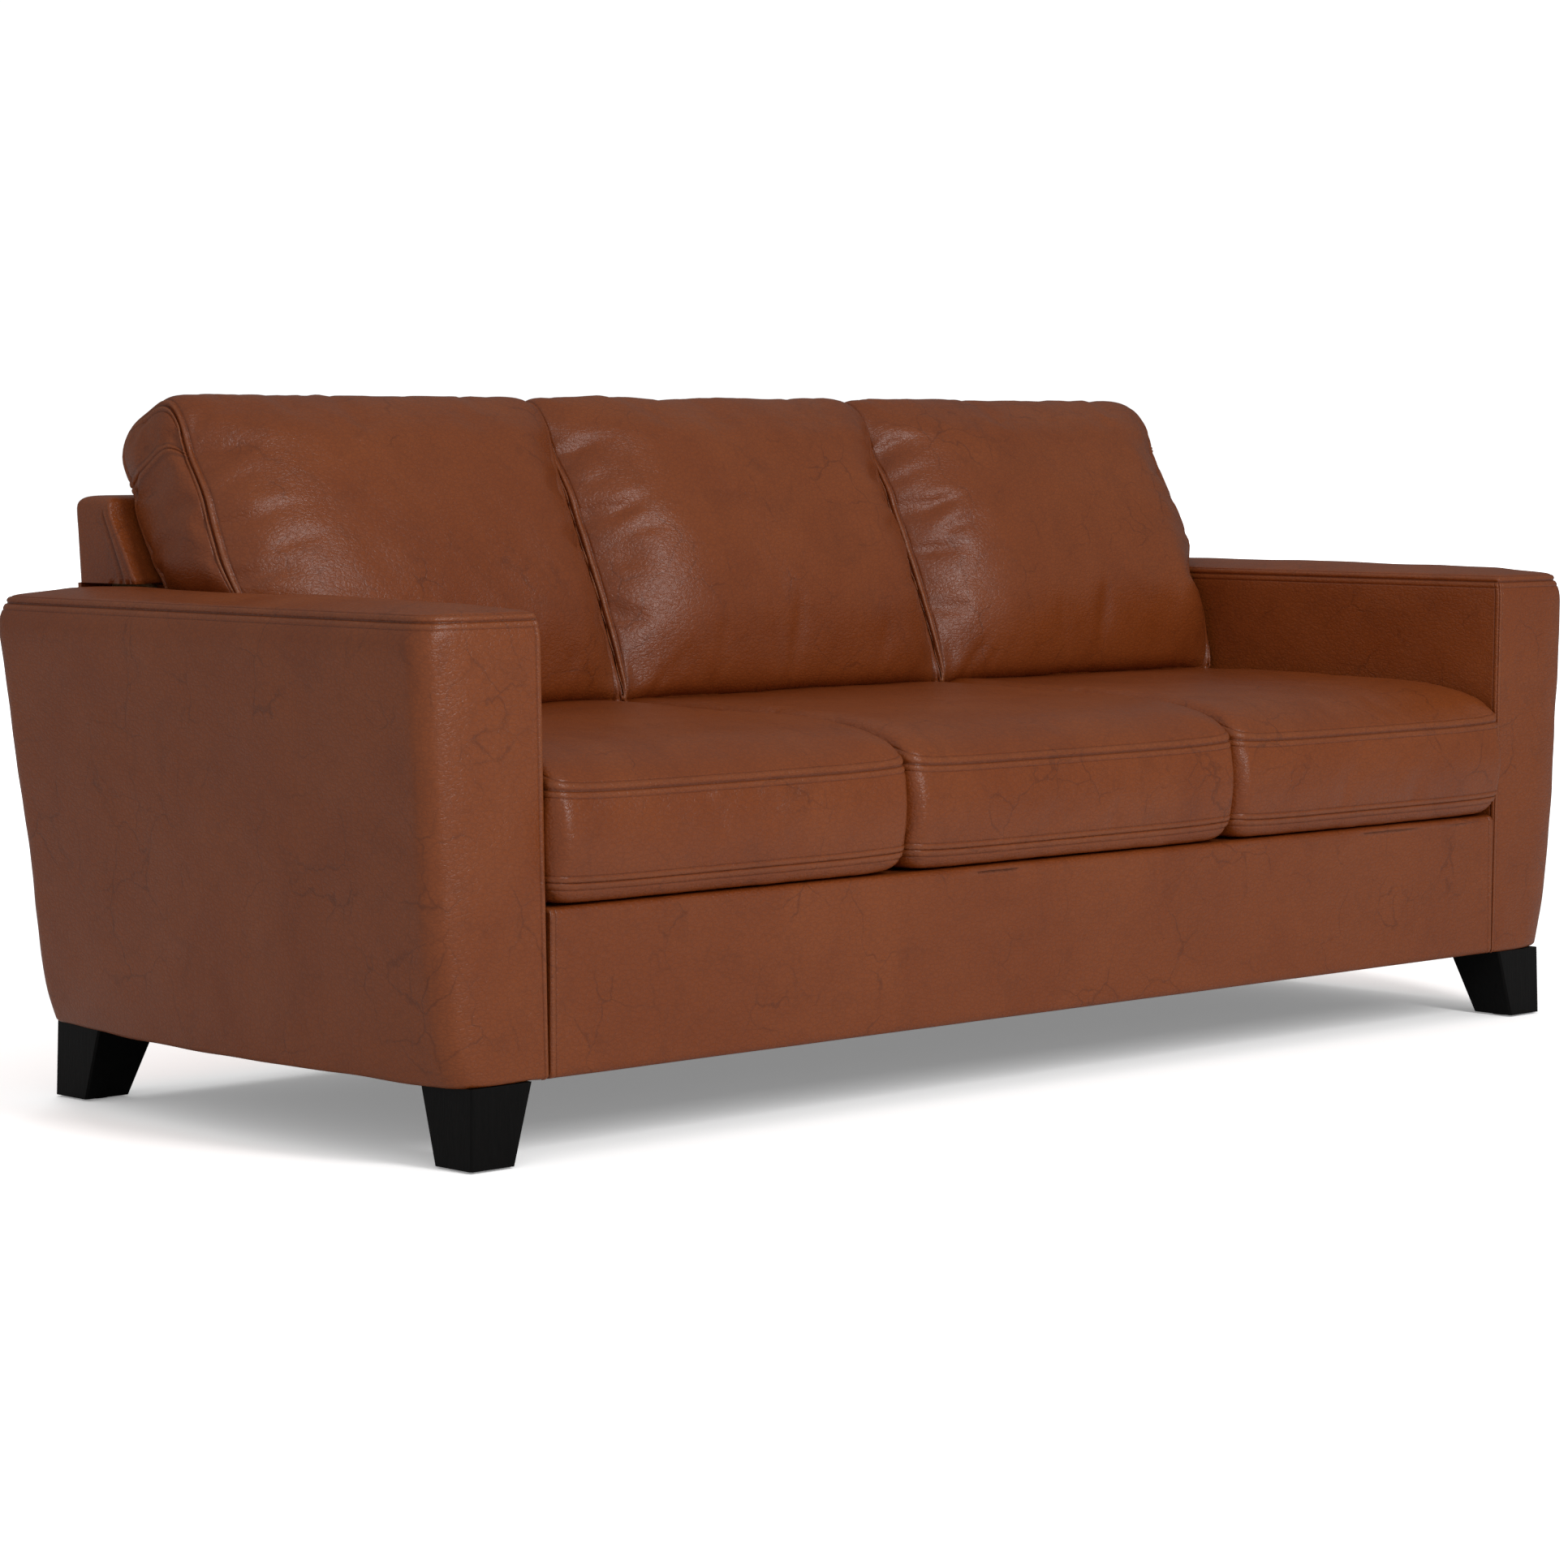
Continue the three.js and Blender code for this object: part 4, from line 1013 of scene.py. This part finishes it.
def make_back_cushion(name, seed, middle, half, puff):
    ws = stations(0, PILLOW_HEIGHT, PILLOW_PITCH)
    cross_rows = CROSS_SEAM + np.array(CROSS_ROWS) * MM
    ws = np.sort(np.append(ws[abs(ws - CROSS_SEAM) > 10 * MM], cross_rows))
    places, quads = lattice(stations(-half, half, PILLOW_PITCH), stations(0, PILLOW_DEPTH, 6 * MM), ws)
    points, from_seam = pillow_shape(places, half, middle, puff)
    points = points + pillow_swelling(places, half, middle, puff)

    u, v, w = places.T
    on_end = abs(u) >= half - TINY
    normals = normals_of(points, quads)
    on_face = fade(-v / PILLOW_DEPTH, -0.25, 0.0) * np.where(on_end, 0, 1)
    left_folds = crease_field(u + half, points[:, 2], seed, strength=0.7)
    right_folds = crease_field(half - u, points[:, 2], seed + 7, strength=0.4)
    folds = (left_folds + right_folds) * on_face * fade(from_seam, 6 * MM, 22 * MM)
    soft = fade(from_seam, 8 * MM, 50 * MM)
    waves = 1.2 * MM * ripples(points, 0.16, seed + 3) + 0.4 * MM * ripples(points, 0.06, seed + 4)
    cross_seam = np.where(on_end, w - CROSS_SEAM, FAR)
    lift = ribbed_seam(from_seam) + folds + waves * soft + flat_seam(cross_seam)
    points = points + normals * lift[:, None]
    points[:, 2] = np.maximum(points[:, 2], span("seat_cushion_centre", 2)[1] + 0.7 * MM)
    # Pale welts, partly wear and partly a painted highlight: strong on the left ends, faint on the right
    # ends, and fainter higher up.
    wear_and_highlight = np.where(u > 0, 0.12, 0.60) * (1 - 0.4 * fade(points[:, 2], 0.62, 0.80))
    # Painted shade: the leather is darkened beside each seam, half as much on the end panels.
    painted_seam_shade = 0.24 * np.exp(-from_seam / (26 * MM)) * np.where(on_end, 0.5, 1)
    shade = seam_shade(from_seam, wear_and_highlight) + seam_shade(cross_seam) + painted_seam_shade
    return add_leather(name + "_leather", points, quads, shade)


# --- The sofa ---


def build_sofa():
    for side, word in ((-1, "left"), (1, "right")):
        arm = make_arm(side)
        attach(arm, "root")
        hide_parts(*(f"arm_{pad}_pad_{word}" for pad in ("front", "outer", "inner", "top")))
    rail = make_front_rail()
    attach(rail, "root")
    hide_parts("front_rail_cover")
    cover = make_back_cover()
    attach(cover, "root")
    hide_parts("back_outer_cover", "back_top_pad", "back_end_pad_left", "back_end_pad_right")
    inner = make_inner_back()
    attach(inner, "root")
    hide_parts("back_inner_pad")
    for number, (word, pillow) in enumerate(PILLOWS.items()):
        seat = make_seat_cushion(f"seat_cushion_{word}", 100 + number)
        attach(seat, f"seat_cushion_{word}")
        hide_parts(f"seat_cushion_{word}")
        back = make_back_cushion(f"back_cushion_{word}", 200 + number, **pillow)
        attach(back, f"back_cushion_{word}")
        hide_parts(f"back_cushion_{word}")


# --- Stage ---

CAMERA_PLACE = (-4.12605, -4.18787, 0.834318)
CAMERA_TURN = math.radians(43.817)  # from +Y toward +X
CAMERA_DROP = math.radians(4.583)  # below level
CAMERA_LENS = 100.37

ROOM_LIGHT_SIDE = (-0.78, -0.5, 0.38)
ROOM_DARK = 0.09
ROOM_LIGHT = 0.41
BACKDROP = 1.05
FLOOR_REACH = 30.0
FLOOR_GAIN = 2.4  # how bright the lit floor looks to the camera
FLOOR_GLOW = 0.23  # added to that near the sofa, and 1 far from it
GLOW_NEAR = 2.5
GLOW_FAR = 6.0
FLOOR_BOUNCE = 0.85  # how much light the floor throws back onto the sofa
SOFA_MIDDLE = (0, 0, 0.5)


def add_camera():
    camera = add_object("camera", bpy.data.cameras.new("camera"))
    camera.data.sensor_width = 36
    camera.data.lens = CAMERA_LENS
    camera.data.clip_end = 100
    camera.location = CAMERA_PLACE
    camera.rotation_euler = (math.pi / 2 - CAMERA_DROP, 0, -CAMERA_TURN)
    bpy.context.scene.camera = camera


def add_softbox(name, place, width, height, power, glossy=True):
    """A light that faces the sofa. glossy is whether the leather shows its reflection."""
    light = bpy.data.lights.new(name, "AREA")
    light.shape = "RECTANGLE"
    light.size = width
    light.size_y = height
    light.energy = power
    box = add_object(name, light)
    box.location = place
    box.visible_glossy = glossy
    direction = np.array(SOFA_MIDDLE) - np.array(place)
    yaw = math.atan2(direction[1], direction[0])
    pitch = math.atan2(direction[2], math.hypot(direction[0], direction[1]))
    box.rotation_euler = (math.pi / 2 + pitch, 0, yaw - math.pi / 2)


def add_floor():
    n = Nodes("studio_floor", (1, 1, 1), roughness=0.9, specular=0.0)
    seen = n.add("ShaderNodeLightPath").outputs["Is Camera Ray"]
    n.set(Base_Color=n.blend(seen, (FLOOR_BOUNCE,) * 3, (FLOOR_GAIN,) * 3))
    away = n.add("ShaderNodeVectorMath", {0: n.place}, operation="LENGTH").outputs["Value"]
    glow = n.ramp(away, GLOW_NEAR, GLOW_FAR, FLOOR_GLOW, 1.0)
    n.set(Emission_Color=(1, 1, 1, 1), Emission_Strength=n.math("MULTIPLY", seen, glow))
    mesh = bpy.data.meshes.new("floor")
    turns = ((-1, -1), (1, -1), (1, 1), (-1, 1))
    corners = [(x * FLOOR_REACH, y * FLOOR_REACH, 0) for x, y in turns]
    mesh.from_pydata(corners, [], [(0, 1, 2, 3)])
    mesh.materials.append(n.material)
    add_object("floor", mesh)


def add_world():
    """A soft grey room that is lighter in front of the sofa, behind a plain white backdrop."""
    world = bpy.data.worlds.new("studio")
    world.use_nodes = True
    n = Tree(world.node_tree)
    direction = n.add("ShaderNodeTexCoord").outputs["Generated"]
    toward = n.add("ShaderNodeVectorMath", {0: direction, 1: ROOM_LIGHT_SIDE}, operation="DOT_PRODUCT")
    strength = n.add("ShaderNodeMapRange", {
        "Value": toward.outputs["Value"], "From Min": -1, "To Min": ROOM_DARK, "To Max": ROOM_LIGHT})
    room = n.tree.nodes["Background"]
    n.feed(room.inputs["Color"], (1, 1, 1, 1))
    n.feed(room.inputs["Strength"], strength.outputs["Result"])
    backdrop = n.add("ShaderNodeBackground", {"Color": (1, 1, 1, 1), "Strength": BACKDROP})
    seen = n.add("ShaderNodeLightPath").outputs["Is Camera Ray"]
    choice = n.add("ShaderNodeMixShader", {0: seen, 1: room.outputs[0], 2: backdrop.outputs[0]})
    n.feed(n.tree.nodes["World Output"].inputs["Surface"], choice.outputs[0])
    bpy.context.scene.world = world


add_camera()
finish_cad_nodes()
ease_leg_edges()
build_sofa()
add_floor()
add_world()
add_softbox("key_softbox", place=(-0.4, -4.5, 2.9), width=0.8, height=2.2, power=66)
add_softbox("back_softbox", place=(0.8, 3.2, 4.2), width=2.4, height=1.4, power=30, glossy=False)
bpy.context.scene.view_settings.view_transform = "Standard"
